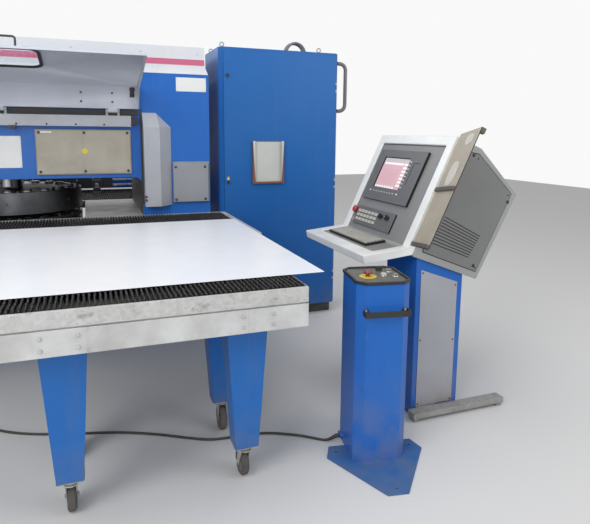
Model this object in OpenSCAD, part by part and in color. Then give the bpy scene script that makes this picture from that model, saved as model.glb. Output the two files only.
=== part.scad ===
// Turret punch press with its brush tables, electrical cabinet, control console and operator pedestal.
// Millimetres. The origin is on the floor under the middle of the press frame, -Y is the loading side.

/* [Press frame] */
// Width of the closed press frame
frame_w = 2750; // [2650:10:3000]
// Depth of the press frame
frame_d = 1000; // [980:10:1200]
// Height of the press frame without its top cover
frame_h = 1911; // [1880:1:2100]
// Wall thickness of the welded frame
frame_wall = 50; // [30:1:60]
// Width of the throat through the frame
throat_w = 1770; // [1700:10:1850]
// Height of the throat's ceiling above the floor
throat_top = 1180; // [1160:1:1200]
// Height of the throat's floor above the floor
throat_floor = 730; // [700:1:745]
// Radius of the throat's upper corners
throat_r = 60; // [30:1:90]
// Thickness of the plates that line the throat
lining = 40; // [25:1:45]

/* [Top cover] */
// Height of the white top cover
cover_h = 193; // [150:1:260]
// Height of its flared skirt
flare_h = 64; // [30:1:100]
// How far the skirt flares outwards
flare_out = 21; // [5:1:23]
// Sheet thickness of the top cover
cover_wall = 3; // [2:0.5:6]

/* [Hood] */
// Width of the tilting hood
hood_w = 1750; // [1600:10:1764]
// Height of the hood's back panel above its hinge
hood_back_h = 163; // [150:1:180]
// Length of the hood's visor panel
visor_l = 650; // [600:1:660]
// Tilt of the open visor above level, in degrees
visor_tilt = 13; // [8:1:20]
// Sheet thickness of the hood
hood_sheet = 3; // [2:0.5:5]
// Depth of the hood's side flanges
flange_d = 88; // [50:1:110]
// Height of the hood's hinge axis
hinge_z = 1642; // [1638:1:1655]
// Radius of the hinge pin
hinge_pin_r = 6; // [4:0.5:8]
// Length of each hinge knuckle
knuckle_l = 60; // [40:5:90]
// Length of the window in the visor
window_w = 584; // [400:2:700]
// Height of the window in the visor
window_h = 300; // [200:2:330]
// Radius of the window's corners
window_r = 60; // [30:1:90]
// Metal between the window's rubber and the rim
window_edge = 16; // [8:1:30]
// Width of the window's rubber profile
gasket_w = 20; // [10:1:28]
// Thickness of the window pane
pane_t = 4; // [3:0.5:6]
// Width of the hood's handle
handle_w = 376; // [250:2:450]
// Height of the hood's handle
handle_h = 62; // [45:1:80]
// Diameter of the hood's handle bar
handle_d = 12; // [10:1:20]

/* [Front panels] */
// Width of the beige junction plate
junction_w = 612; // [500:2:640]
// Height of the beige junction plate
junction_h = 306; // [250:2:320]
// Distance from the frame's middle to the junction plate's middle
junction_x = 508; // [480:2:520]
// Height of the light hinge beam
beam_h = 74; // [50:1:80]
// Depth of the light hinge beam
beam_d = 52; // [40:1:70]
// Width of a column cover at the frame
column_cover_w = 198; // [150:2:210]
// Width of a column cover's front face
column_cover_face = 110; // [80:2:130]
// Height of a column cover's front face
column_cover_h = 560; // [400:5:600]
// Height of the sloped top of a column cover
column_cover_slope = 100; // [60:2:120]
// How far a column cover stands out
column_cover_d = 90; // [60:1:100]
// Width of an access plate
access_w = 272; // [200:2:276]
// Height of an access plate
access_h = 296; // [200:2:330]
// How far an access plate stands out
access_d = 26; // [15:1:40]
// Bevel of an access plate
access_bevel = 16; // [8:1:24]
// Radius of the cover screws
screw_r = 7; // [4:0.5:8]

/* [Turret] */
// Radius of the tool turrets
turret_r = 470; // [400:5:480]
// Tool stations in a turret
stations = 20; // [12:1:24]
// Thickness of the upper turret
upper_turret_t = 150; // [100:2:160]
// Thickness of the lower turret
lower_turret_t = 130; // [90:2:140]
// Radius of a turret's spindle
spindle_r = 60; // [40:1:80]
// Radius of the ram
ram_r = 38; // [25:1:42]
// Running clearance of shafts in their bores
fit_gap = 0.05; // [0.02:0.01:0.1]
// Air between the ram and the tool heads
ram_air = 24; // [10:1:30]

/* [Machine table] */
// Height of the table rails above the floor
table_z = 905; // [880:1:915]
// How far the bristles stand above the rails
bristle_rise = 7; // [4:1:12]
// Distance between two brush rows
brush_pitch = 18.5; // [16:0.5:30]
// Width of one brush row
brush_w = 9; // [6:0.5:12]
// Half width of the machine's table
table_half = 1485; // [1420:5:1490]
// Length of the table in front of the frame
front_table_l = 1000; // [900:5:1050]
// Length of the table behind the frame
rear_table_l = 1000; // [900:5:1100]
// Width of the table's edge rail
edge_rail_w = 46; // [30:1:60]
// Height of the table's edge rail
edge_rail_h = 60; // [45:1:80]

/* [Sheet feed] */
// Length of the cross slide
cross_l = 2860; // [2700:10:2950]
// Height of the cross slide
cross_h = 120; // [90:2:150]
// Length of the clamp carriage
carriage_l = 1500; // [1300:10:1600]
// Distance between two clamps
clamp_pitch = 600; // [400:10:650]
// Mouth of a clamp
clamp_mouth = 8; // [6:0.5:12]

/* [Sheet blank] */
// Length of the sheet blank along X
sheet_w = 1500; // [1400:10:1600]
// Width of the sheet blank along Y
sheet_d = 1550; // [1450:10:1600]
// Thickness of the sheet blank
sheet_t = 2; // [1:0.5:6]
// How far the sheet passes the extension table's right end
sheet_over = 140; // [100:5:200]

/* [Extension table] */
// Length of the extension table along X
ext_w = 1116; // [1000:4:1200]
// Depth of the extension table
ext_d = 877; // [820:1:950]
// Distance from the frame's front to the table's front edge
ext_reach = 2150; // [2100:5:2200]
// Distance from the frame's middle to the table's right end
ext_right = 1310; // [1280:2:1330]
// Height of the galvanised upper rail
rail_h = 62; // [40:1:80]
// Gap between the upper rail and the painted skirt
groove_h = 5; // [3:1:10]
// Height of the painted skirt
skirt_h = 94; // [70:1:120]
// Sheet thickness of the rail and the skirt
rail_t = 4; // [3:0.5:6]
// Width of a leg at its top
leg_top = 176; // [140:2:190]
// Width of a leg at its foot
leg_foot = 100; // [80:2:130]
// Distance between the legs along X
leg_span_x = 703; // [600:1:760]
// Distance between the legs along Y
leg_span_y = 437; // [400:1:500]
// Radius of a caster wheel
wheel_r = 62; // [50:1:66]
// Width of a caster wheel
wheel_w = 34; // [24:1:40]
// Height from the floor to the leg's foot
caster_h = 165; // [160:1:180]
// Distance from a caster's swivel axis to its axle
caster_trail = 34; // [24:1:40]
// Radius of a caster's axle
axle_r = 6; // [5:0.5:8]

/* [Cabinet] */
// Width of the electrical cabinet
cab_w = 975; // [900:5:980]
// Depth of the electrical cabinet
cab_d = 500; // [450:10:640]
// Height of the electrical cabinet
cab_h = 2128; // [1950:2:2200]
// Gap between the press frame and the cabinet
cab_gap = 90; // [86:1:110]
// How far the cabinet's front stands back from the frame's front
cab_behind = 50; // [44:1:80]
// Height of the cabinet's plinth
plinth_h = 84; // [60:2:120]
// Chamfer of the cabinet's corners
cab_chamfer = 30; // [15:1:35]
// Sheet thickness of the cabinet
cab_wall = 3; // [2:0.5:5]
// Thickness of the cabinet's door
door_t = 20; // [16:1:30]
// Radius of a door lock
lock_r = 13; // [9:0.5:16]
// Width of the document holder
doc_w = 254; // [210:2:260]
// Height of the document holder
doc_h = 328; // [290:2:340]

/* [Console] */
// Width of the control console
con_w = 765; // [700:5:800]
// Near side of the console, ahead of the frame's middle
con_near = 2225; // [2200:5:2250]
// Place of the console's keyboard shelf edge along X
nose_x = 1768; // [1760:1:1780]
// Length of the keyboard shelf
shelf_l = 254; // [230:1:270]
// Height of the shelf's edge
nose_z = 905; // [890:1:920]
// Rise of the shelf towards the screen
shelf_rise = 26; // [15:1:35]
// Slope of the screen face, in degrees
face_slope = 64.9; // [60:0.1:70]
// Length of the screen face
face_l = 622; // [590:1:640]
// Thickness of the white console frame
bezel_t = 44; // [30:1:50]
// Width of the white frame's border
bezel_border = 56; // [40:1:70]
// Depth of the grey face under the white frame
face_depth = 12; // [6:1:20]
// Depth of the console's box behind its face
con_back = 400; // [370:2:430]
// Width of the console's column
con_col_w = 288; // [240:2:300]
// Depth of the console's column
con_col_d = 300; // [240:2:360]
// Length of the floor channel
channel_l = 580; // [500:10:620]
// Width of the copy wing
wing_w = 265; // [210:5:270]
// Length of the copy wing
wing_l = 620; // [560:2:640]
// Turn of the copy wing towards the operator, in degrees
wing_turn = 18; // [10:1:25]

/* [Pedestal] */
// Turn of the operator pedestal, in degrees
ped_turn = -10; // [-15:1:0]
// Place of the pedestal along X
ped_x = 1745; // [1735:1:1760]
// Place of the pedestal ahead of the frame's middle
ped_y = 2398; // [2390:1:2410]
// Width of the pedestal's column
ped_w = 250; // [230:2:260]
// Depth of the pedestal's column
ped_d = 290; // [250:2:300]
// Height of the pedestal
ped_h = 860; // [820:2:864]
// Chamfer of the pedestal's corners
ped_chamfer = 40; // [20:1:50]
// Thickness of the base plate
base_t = 8; // [6:1:12]
// Circle radius of the base plate's bolt holes
bolt_circle_r = 208; // [200:1:212]
// Radius of the base plate's bolt holes
bolt_r = 7; // [5:0.5:9]
// Radius of a push button
button_r = 14; // [10:1:16]
// Radius of a stop button's mushroom head
mushroom_r = 21; // [18:1:24]
// Outer radius of the yellow ring under the stop button
ring_r = 40; // [32:1:46]

/* [Floor cable] */
// Diameter of the floor cable
cable_d = 12; // [8:1:16]

/* [Hidden] */
$fn = 48;
// Smallest overlap that makes a cut pass a face
cut = 1;
// Place of the cable's gland on the frame's front
gland_x = -150;
gland_z = 60;
// Free gap between pieces that move past each other
free_gap = 0.3;
// Gap under plates that are screwed to a sloping face
seat_gap = 0.05;
half_w = frame_w / 2;
half_d = frame_d / 2;
half_throat = throat_w / 2;
front_y = -half_d;
cover_y = half_d - flare_out + 1;
cover_x = half_w - flare_out - 3;
blue = "RoyalBlue";
pale = "Gainsboro";
dark = "DimGray";

// Rectangle with round corners, made of exact arcs
module round_rect(w, h, r) {
    square([w - 2 * r, h], center = true);
    square([w, h - 2 * r], center = true);
    for (x = [-1, 1], y = [-1, 1])
        translate([x * (w / 2 - r), y * (h / 2 - r)]) circle(r);
}

// Rectangle with cut corners
module cut_rect(w, h, c) {
    polygon([
        [c - w / 2, -h / 2], [w / 2 - c, -h / 2], [w / 2, c - h / 2], [w / 2, h / 2 - c],
        [w / 2 - c, h / 2], [c - w / 2, h / 2], [-w / 2, h / 2 - c], [-w / 2, c - h / 2]
    ]);
}

// Extrudes an outline drawn in Y and Z along X, centred on the middle
module along_x(length) {
    translate([-length / 2, 0, 0]) rotate([90, 0, 90]) linear_extrude(length) children();
}

// Extrudes an outline drawn in X and Z from y towards +Y
module along_y(y, length) {
    translate([0, y + length, 0]) rotate([90, 0, 0]) linear_extrude(length) children();
}

// Copies a piece to both sides of the frame
module both_sides() {
    children();
    mirror([1, 0, 0]) children();
}

// Press frame: a welded box with a throat through it, open at the top under the cover
ram_y = -(turret_r - 90);
module main_frame() {
    color(blue) difference() {
        translate([-half_w, -half_d, 0]) cube([frame_w, frame_d, frame_h]);
        difference() {
            translate([frame_wall - half_w, frame_wall - half_d, frame_wall])
                cube([frame_w - 2 * frame_wall, frame_d - 2 * frame_wall, frame_h]);
            translate([-half_throat - lining, -half_d, throat_floor - lining])
                cube([throat_w + 2 * lining, frame_d, throat_top - throat_floor + 2 * lining]);
        }
        along_y(-half_d - cut, frame_d + 2 * cut) {
            translate([-half_throat, throat_floor]) square([throat_w, throat_top - throat_r - throat_floor]);
            translate([throat_r - half_throat, throat_floor])
                square([throat_w - 2 * throat_r, throat_top - throat_floor]);
            for (x = [-1, 1]) translate([x * (half_throat - throat_r), throat_top - throat_r]) circle(throat_r);
        }
        translate([0, 0, throat_floor - lining - cut]) cylinder(r = spindle_r + fit_gap, h = lining + 2 * cut);
        translate([0, 0, throat_top - cut]) cylinder(r = spindle_r + fit_gap, h = lining + 2 * cut);
        translate([0, ram_y, throat_top - cut]) cylinder(r = ram_r + fit_gap, h = lining + 2 * cut);
    }
    color("black") translate([gland_x, -half_d, gland_z]) rotate([90, 0, 0]) cylinder(r = 14, h = 12);
}

// Top cover: a folded white lid with a flared skirt, open below
module cover_block(shrink) {
    translate([0, 0, frame_h + flare_h]) linear_extrude(cover_h - flare_h - shrink)
        square([2 * (cover_x - shrink), 2 * (cover_y - shrink)], center = true);
    hull() {
        translate([0, 0, frame_h + flare_h - 1])
            linear_extrude(1) square([2 * (cover_x - shrink), 2 * (cover_y - shrink)], center = true);
        translate([0, 0, frame_h]) linear_extrude(1)
            square(2 * [cover_x + flare_out - shrink, cover_y + flare_out - shrink], center = true);
    }
}
module top_cover() {
    color(pale) difference() {
        cover_block(0);
        difference() {
            translate([0, 0, -0.01]) cover_block(cover_wall);
            translate([0, 0, frame_h + cover_h - cover_wall + 0.01]) cube([frame_w, frame_d, cut], center = true);
        }
    }
}

// Hinge beam: the light bar across the throat's front, with the hood's hinge eyes and pins
eye_r = hinge_pin_r + 8;
hinge_y = front_y - eye_r - 2;
beam_half = hood_w / 2 - 57;
beam_top = hinge_z - 34;
beam_bottom = beam_top - beam_h;
hinge_places = [-0.4 * hood_w, 0, 0.4 * hood_w];
module hinge_beam() {
    color(pale) {
        difference() {
            union() {
                translate([-beam_half, front_y - beam_d, beam_bottom]) cube([2 * beam_half, beam_d, beam_h]);
                for (x = hinge_places, side = [-1, 1])
                    translate([x + side * (knuckle_l / 2 + 8) - 7.5, hinge_y - 2, beam_top - cut])
                        cube([15, front_y - hinge_y + 2, hinge_z - beam_top + cut]);
                for (x = hinge_places, side = [-1, 1])
                    translate([x + side * (knuckle_l / 2 + 8) - 7.5, hinge_y, hinge_z])
                        rotate([0, 90, 0]) cylinder(r = eye_r, h = 15);
            }
            translate([6 - beam_half, front_y - beam_d + 6, beam_bottom - cut])
                cube([2 * beam_half - 12, beam_d - 12, beam_h - 6 + cut]);
            translate([-half_w, front_y, beam_top]) cube([frame_w, frame_d, 2 * eye_r + 40]);
        }
        for (x = hinge_places)
            translate([x - knuckle_l / 2 - 12, hinge_y, hinge_z])
                rotate([0, 90, 0]) cylinder(r = hinge_pin_r, h = knuckle_l + 24);
    }
    color("black") for (x = [-1, 1])
        translate([x * (beam_half + 24) - 24, front_y - 26, beam_bottom + 14]) cube([48, 26, 52]);
}

// Hood: a folded lid hinged above the throat, drawn open
fold_y = hinge_y - 12;
fold_z = hinge_z + hood_back_h;
module on_visor() {
    translate([0, fold_y, fold_z]) rotate([-visor_tilt, 0, 0]) children();
}
module window_place() {
    on_visor() translate([0, -visor_l + window_edge + gasket_w / 2 + window_h / 2, 0]) children();
}
module hood() {
    rim = [fold_y - visor_l * cos(visor_tilt), fold_z + visor_l * sin(visor_tilt)];
    seam = hood_sheet / 2 * [sin(visor_tilt), cos(visor_tilt)];
    color(pale) difference() {
        union() {
            translate([-hood_w / 2, fold_y - hood_sheet, hinge_z + eye_r])
                cube([hood_w, hood_sheet, hood_back_h - eye_r + hood_sheet / 2]);
            on_visor() translate([-hood_w / 2, -visor_l, 0]) cube([hood_w, visor_l, hood_sheet]);
            on_visor() translate([-hood_w / 2, -visor_l, -12]) cube([hood_w, hood_sheet, 12 + hood_sheet]);
            for (x = [-1, 1])
                translate([x * (hood_w / 2 - hood_sheet / 2), 0, 0]) along_x(hood_sheet) polygon([
                    [fold_y, hinge_z + eye_r], [fold_y - 20, hinge_z + eye_r],
                    [fold_y - flange_d, fold_z - 0.2 * flange_d],
                    [rim[0] + 60, rim[1] - 36], [rim[0], rim[1] - 12],
                    rim + seam, [fold_y, fold_z] + seam
                ]);
            for (x = hinge_places) {
                translate([x - knuckle_l / 2, hinge_y, hinge_z]) rotate([0, 90, 0]) cylinder(r = eye_r, h = knuckle_l);
                translate([x - knuckle_l / 2, fold_y - hood_sheet, hinge_z]) cube([knuckle_l, 5, eye_r + 30]);
            }
            for (x = [-1, 1]) translate([x * (hood_w / 2 - 44), fold_y - hood_sheet + 1, hinge_z + 92]) {
                translate([-14, -20, 0]) cube([28, 20, 66]);
                translate([0, -30, 50]) rotate([0, 90, 0]) cylinder(r = 9, h = 36, center = true);
                translate([-6, -30, 41]) cube([12, 12, 18]);
            }
        }
        for (x = hinge_places)
            translate([x - knuckle_l / 2 - cut, hinge_y, hinge_z])
                rotate([0, 90, 0]) cylinder(r = hinge_pin_r + fit_gap, h = knuckle_l + 2 * cut);
        window_place() translate([0, 0, -cut]) linear_extrude(hood_sheet + 2 * cut)
            round_rect(window_w, window_h, window_r);
    }
}

// Window rubber: a profile that grips the metal edge and holds the pane
lip = gasket_w / 2;
module window_gasket() {
    color("black") window_place() difference() {
        translate([0, 0, -5]) linear_extrude(hood_sheet + 10)
            round_rect(window_w + gasket_w, window_h + gasket_w, window_r + lip);
        translate([0, 0, -6]) linear_extrude(hood_sheet + 12)
            round_rect(window_w - gasket_w, window_h - gasket_w, window_r - lip);
        difference() {
            linear_extrude(hood_sheet) round_rect(hood_w, 2 * visor_l, 1);
            translate([0, 0, -1]) linear_extrude(hood_sheet + 2) round_rect(window_w, window_h, window_r);
        }
        translate([0, 0, (hood_sheet - pane_t) / 2]) linear_extrude(pane_t)
            round_rect(window_w - 8, window_h - 8, window_r - 4);
    }
}

// Window pane: clear plastic in the rubber
module hood_window() {
    color("LightCyan", 0.4) window_place() translate([0, 0, (hood_sheet - pane_t) / 2])
        linear_extrude(pane_t) round_rect(window_w - 8, window_h - 8, window_r - 4);
}

// Hood handle: a bent bar on the outer side of the rim
module hood_handle() {
    post_y = -visor_l + handle_d / 2 + 2;
    color("black") on_visor() difference() {
        translate([0, post_y, hood_sheet]) rotate([90, 0, 0]) linear_extrude(handle_d, center = true)
            difference() {
                translate([0, handle_h / 2]) round_rect(handle_w, handle_h, handle_d);
                translate([0, (handle_h - handle_d) / 2])
                    square([handle_w - 2 * handle_d, handle_h - handle_d + 0.01], center = true);
            }
    }
}

// Junction plate: a beige lid on the frame's upper beam
junction_z = beam_bottom - 22 - junction_h / 2;
module junction_plate() {
    color("Wheat") translate([junction_x, front_y, junction_z]) rotate([90, 0, 0]) {
        linear_extrude(14) round_rect(junction_w, junction_h, 4);
        linear_extrude(20) round_rect(junction_w - 12, junction_h - 12, 4);
    }
}

// Column covers: folded grey guards on both columns, with a sloped top and a sloped side
cover_left = half_throat + 10;
cover_bottom = table_z + 68;
module cover_shape(wall, back) {
    h = column_cover_h - wall;
    hull() {
        translate([cover_left + wall, front_y - column_cover_d + wall, cover_bottom + wall])
            cube([column_cover_face - 2 * wall, 1, h - wall]);
        translate([cover_left + wall, front_y - 1, cover_bottom + wall])
            cube([column_cover_w - 3 * wall, 1 + back, h - wall]);
        translate([cover_left + wall, front_y - 1, cover_bottom + column_cover_h])
            cube([column_cover_face - 14 - 2 * wall, 1 + back, column_cover_slope - 2 * wall]);
    }
}
module column_cover() {
    color("Silver") difference() {
        cover_shape(0, 0);
        cover_shape(3, 2);
    }
}
module column_covers() {
    both_sides() column_cover();
}

// Access plates: bevelled lids on the columns
access_left = half_w - access_w - 3;
access_z = cover_bottom + 18;
module access_plates() {
    color("Silver") both_sides() hull() {
        translate([access_left, front_y - 1, access_z]) cube([access_w, 1, access_h]);
        translate([access_left + 3, front_y - access_d, access_z + 3])
            cube([access_w - access_bevel - 3, 1, access_h - access_bevel - 3]);
    }
}

// Cover screws: dark screw heads on the junction plate, the access plates and the console's side panel
module screw_head(x, y, z) {
    translate([x, y, z]) rotate([90, 0, 0]) cylinder(r = screw_r, h = 4);
}
panel_screw_a = [2632, 1142];
panel_screw_b = [2430, 806];
module cover_screws() {
    color(dark) {
        for (i = [-1, 0, 1], j = [-1, 1])
            screw_head(junction_x + i * (junction_w / 2 - 24), front_y - 20, junction_z + j * (junction_h / 2 - 22));
        both_sides() for (i = [0, 1], j = [0, 1])
            screw_head(access_left + 20 + i * (access_w - access_bevel - 42), front_y - access_d,
                access_z + 20 + j * (access_h - access_bevel - 42));
        for (p = [panel_screw_a, panel_screw_b])
            screw_head(p[0], -con_near - panel_t, p[1]);
    }
}

// Sign plates: two bare white plates, one on the right column and one on the upper beam
sign_w = 216;
sign_h = 98;
sign_t = 1.5;
module sign_plates() {
    color("white") {
        translate([half_w - sign_w - 20, front_y - sign_t, frame_h - sign_h - 24]) cube([sign_w, sign_t, sign_h]);
        translate([-120, front_y - sign_t, throat_top + 76]) cube([235, sign_t, 210]);
    }
}

// Turrets: two discs that carry the tools and turn together on their spindles
upper_z = table_z + bristle_rise + 22;
lower_top = table_z - 6;
station_r = turret_r - 90;
module upper_turret() {
    color("SlateGray") {
        difference() {
            translate([0, 0, upper_z]) cylinder(r = turret_r, h = upper_turret_t, $fn = 96);
            for (i = [0:stations - 1])
                rotate([0, 0, i * 360 / stations - 90]) translate([station_r, 0, upper_z - cut])
                    cylinder(r = 32, h = 20 + cut);
        }
        for (i = [0:stations - 1])
            rotate([0, 0, i * 360 / stations - 90]) translate([station_r, 0, upper_z + upper_turret_t - cut])
                cylinder(r = 34, h = 14 + cut);
        translate([0, 0, upper_z + upper_turret_t - cut])
            cylinder(r = spindle_r, h = throat_top + lining + 60 - upper_z - upper_turret_t + cut);
        translate([0, 0, throat_top + lining + free_gap]) cylinder(r = spindle_r + 22, h = 30);
    }
}
module lower_turret() {
    color("SlateGray") difference() {
        union() {
            translate([0, 0, lower_top - lower_turret_t]) cylinder(r = turret_r, h = lower_turret_t, $fn = 96);
            translate([0, 0, throat_floor - lining - 40])
                cylinder(r = spindle_r, h = lower_top - throat_floor + lining + 30 - lower_turret_t + 20);
            translate([0, 0, throat_floor + free_gap])
                cylinder(r = spindle_r + 40, h = lower_top - lower_turret_t - throat_floor - free_gap + cut);
        }
        for (i = [0:stations - 1])
            rotate([0, 0, i * 360 / stations - 90]) translate([station_r, 0, lower_top - 30])
                cylinder(r = 30, h = 30 + cut);
    }
}

// Ram: the rod that drives the tool under it
module ram() {
    face_z = upper_z + upper_turret_t + 14 + ram_air;
    color("LightSteelBlue") translate([0, ram_y, 0]) {
        translate([0, 0, face_z]) cylinder(r = ram_r, h = throat_top + lining + 160 - face_z);
        translate([0, 0, throat_top + lining + 60]) cylinder(r = ram_r + 30, h = 40);
    }
}

// Machine table: edge rails, trays and brackets bolted to the frame, with an open middle for the turrets
tray_z = table_z - 35;
tray_t = 8;
table_corner = 55;
front_edge = front_y - front_table_l;
rear_edge = half_d + rear_table_l;
// Outline of the front table with round front corners
module front_outline(inset) {
    corner = table_corner - inset;
    right = table_half - inset;
    translate([-right, front_edge + inset + corner]) square([2 * right, front_table_l - corner - 2 * inset]);
    translate([corner - right, front_edge + inset]) square([2 * (right - corner), corner + cut]);
    for (x = [-1, 1]) translate([x * (right - corner), front_edge + inset + corner]) circle(corner);
}
module machine_table() {
    color("Silver") {
        translate([0, 0, table_z - edge_rail_h]) linear_extrude(edge_rail_h) difference() {
            front_outline(0);
            front_outline(edge_rail_w);
        }
        translate([0, 0, tray_z]) linear_extrude(tray_t) front_outline(edge_rail_w - 1);
        translate([0, 0, table_z - edge_rail_h]) linear_extrude(edge_rail_h) difference() {
            translate([-table_half, half_d]) square([2 * table_half, rear_table_l]);
            translate([edge_rail_w - table_half, half_d + edge_rail_w])
                square([2 * (table_half - edge_rail_w), rear_table_l - 2 * edge_rail_w]);
        }
        translate([edge_rail_w - table_half - 1, half_d + edge_rail_w - 1, tray_z])
            cube([2 * (table_half - edge_rail_w + 1), rear_table_l - 2 * edge_rail_w + 2, tray_t]);
        both_sides() {
            translate([turret_r + 20, front_y - 2, tray_z])
                cube([half_throat - turret_r - 20, frame_d + 4, table_z - tray_z]);
            for (x = [0.45 * half_w, 0.9 * half_w]) {
                translate([x - 15, 0, 0]) rotate([90, 0, 90]) linear_extrude(30) polygon([
                    [front_y, tray_z], [front_y - 0.8 * front_table_l, tray_z],
                    [front_y - 0.8 * front_table_l, tray_z - 40], [front_y, tray_z - 260]
                ]);
                translate([x - 15, 0, 0]) rotate([90, 0, 90]) linear_extrude(30) polygon([
                    [half_d, tray_z], [half_d + 0.8 * rear_table_l, tray_z],
                    [half_d + 0.8 * rear_table_l, tray_z - 40], [half_d, tray_z - 260]
                ]);
            }
        }
    }
}

// Brush rows: black bristle strips on the trays of the front, rear and extension tables
brush_base = tray_z + tray_t;
brush_top = table_z + bristle_rise;
module brush_field(x0, x1, y0, y1) {
    count = floor((x1 - x0 - brush_w) / brush_pitch);
    first = (x0 + x1 - count * brush_pitch) / 2;
    translate([x0, y0, brush_base]) cube([x1 - x0, y1 - y0, 6]);
    for (i = [0:count])
        translate([first + i * brush_pitch - brush_w / 2, y0, brush_base + 5])
            cube([brush_w, y1 - y0, brush_top - brush_base - 5]);
}
ext_left = ext_right - ext_w;
ext_front = front_y - ext_reach;
ext_back = ext_front + ext_d;
module brush_strips() {
    color("black") {
        brush_field(edge_rail_w - table_half, table_half - edge_rail_w, front_edge + table_corner, front_y - edge_rail_w);
        brush_field(edge_rail_w - table_half, table_half - edge_rail_w, half_d + edge_rail_w, rear_edge - edge_rail_w);
        brush_field(ext_left + rail_t + 1, ext_right - rail_t - 1, ext_front + 16, ext_back - 16);
    }
}

// Cross slide: the beam that feeds the sheet along Y, on the rear table's rails
cross_y = rear_edge - 200;
cross_z = table_z + 30;
module cross_slide() {
    color(blue) difference() {
        union() {
            translate([-cross_l / 2, cross_y, cross_z]) cube([cross_l, 150, cross_h]);
            for (x = [-1, 1])
                translate([x * (table_half - edge_rail_w / 2) - edge_rail_w / 2 + 1, cross_y, table_z + free_gap])
                    cube([edge_rail_w - 2, 150, cross_z + cross_h - table_z - free_gap]);
            for (x = [-1, 1])
                translate([min(x * cross_l / 2, x * (table_half + 17)), cross_y, cross_z])
                    cube([table_half + 17 - cross_l / 2, 150, cross_h]);
        }
        translate([-cross_l / 2 + 10, cross_y + 12, cross_z - cut]) cube([cross_l - 20, 126, cross_h - 12 + cut]);
    }
    color("Silver") for (z = [24, cross_h - 44])
        translate([-cross_l / 2 + 20, cross_y - 14, cross_z + z]) cube([cross_l - 40, 14, 20]);
}

// Carriage: the clamp bar that travels along X on the cross slide
module carriage() {
    front = cross_y - 14 - free_gap - 30;
    jaw_z = brush_top + 1;
    color(dark) {
        translate([-carriage_l / 2, front, cross_z + 6]) cube([carriage_l, 30, cross_h - 12]);
        for (i = [-1, 0, 1]) translate([i * clamp_pitch, 0, 0]) {
            translate([-45, front - 60, cross_z + 20]) cube([90, 61, 70]);
            difference() {
                translate([-35, front - 150, jaw_z]) cube([70, 120, 46]);
                translate([-36, front - 151, jaw_z + 4]) cube([72, 71, clamp_mouth]);
            }
        }
    }
}

// Sheet blank: lies on the bristles of both tables
sheet_right = ext_right + sheet_over;
sheet_near = ext_front + 172;
module sheet_blank() {
    color("WhiteSmoke") translate([sheet_right - sheet_w, sheet_near, brush_top]) cube([sheet_w, sheet_d, sheet_t]);
}

// Extension table: a galvanised rail round a tray
module extension_rail() {
    color("LightGray") {
        difference() {
            translate([ext_left, ext_front, table_z - rail_h]) cube([ext_w, ext_d, rail_h]);
            translate([ext_left + rail_t, ext_front + rail_t, table_z - rail_h - cut])
                cube([ext_w - 2 * rail_t, ext_d - 2 * rail_t, rail_h + 2 * cut]);
        }
        translate([ext_left + 1, ext_front + 1, tray_z]) cube([ext_w - 2, ext_d - 2, tray_t]);
        for (y = [ext_front, ext_back - 14])
            translate([ext_left, y, table_z - 3]) cube([ext_w, 14, 3]);
    }
}

// Extension skirt: the painted lower frame that the legs are bolted to
skirt_top = table_z - rail_h - groove_h;
skirt_bottom = skirt_top - skirt_h;
module extension_skirt() {
    color(pale) {
        difference() {
            translate([ext_left, ext_front, skirt_bottom]) cube([ext_w, ext_d, skirt_h]);
            translate([ext_left + rail_t, ext_front + rail_t, skirt_bottom - cut])
                cube([ext_w - 2 * rail_t, ext_d - 2 * rail_t, skirt_h + 2 * cut]);
        }
        difference() {
            translate([ext_left + 8, ext_front + 8, skirt_bottom + 20])
                cube([ext_w - 16, ext_d - 16, tray_z - skirt_bottom - 20]);
            translate([ext_left + 12, ext_front + 12, skirt_bottom]) cube([ext_w - 24, ext_d - 24, tray_z]);
        }
        for (x = leg_x)
            translate([x - leg_top / 2, ext_front + rail_t - 1, skirt_bottom])
                cube([leg_top, ext_d - 2 * rail_t + 2, 20]);
        for (y = [ext_front + 3, ext_back - 9])
            translate([ext_left + rail_t - 1, y, skirt_bottom + 30]) cube([ext_w - 2 * rail_t + 2, 6, 30]);
    }
}

// Extension legs: four tapered sheet legs
leg_mid = (ext_left + ext_right) / 2;
leg_x = [leg_mid - leg_span_x / 2, leg_mid + leg_span_x / 2];
leg_y = [(ext_front + ext_back - leg_span_y) / 2, (ext_front + ext_back + leg_span_y) / 2];
leg_wall = 4;
module leg_block(shrink, z0, z1) {
    hull() {
        translate([0, 0, z1]) cube([leg_top - 2 * shrink, leg_top - 40 - 2 * shrink, 0.1], center = true);
        translate([0, 0, z0]) cube([leg_foot - 2 * shrink, leg_foot - 2 * shrink, 0.1], center = true);
    }
}
module extension_legs() {
    color(blue) for (x = leg_x, y = leg_y)
        translate([x, y, 0]) difference() {
            leg_block(0, caster_h + 0.05, skirt_bottom - 0.05);
            leg_block(leg_wall, caster_h + 0.05 + leg_wall, skirt_bottom + leg_wall);
        }
}

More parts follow.
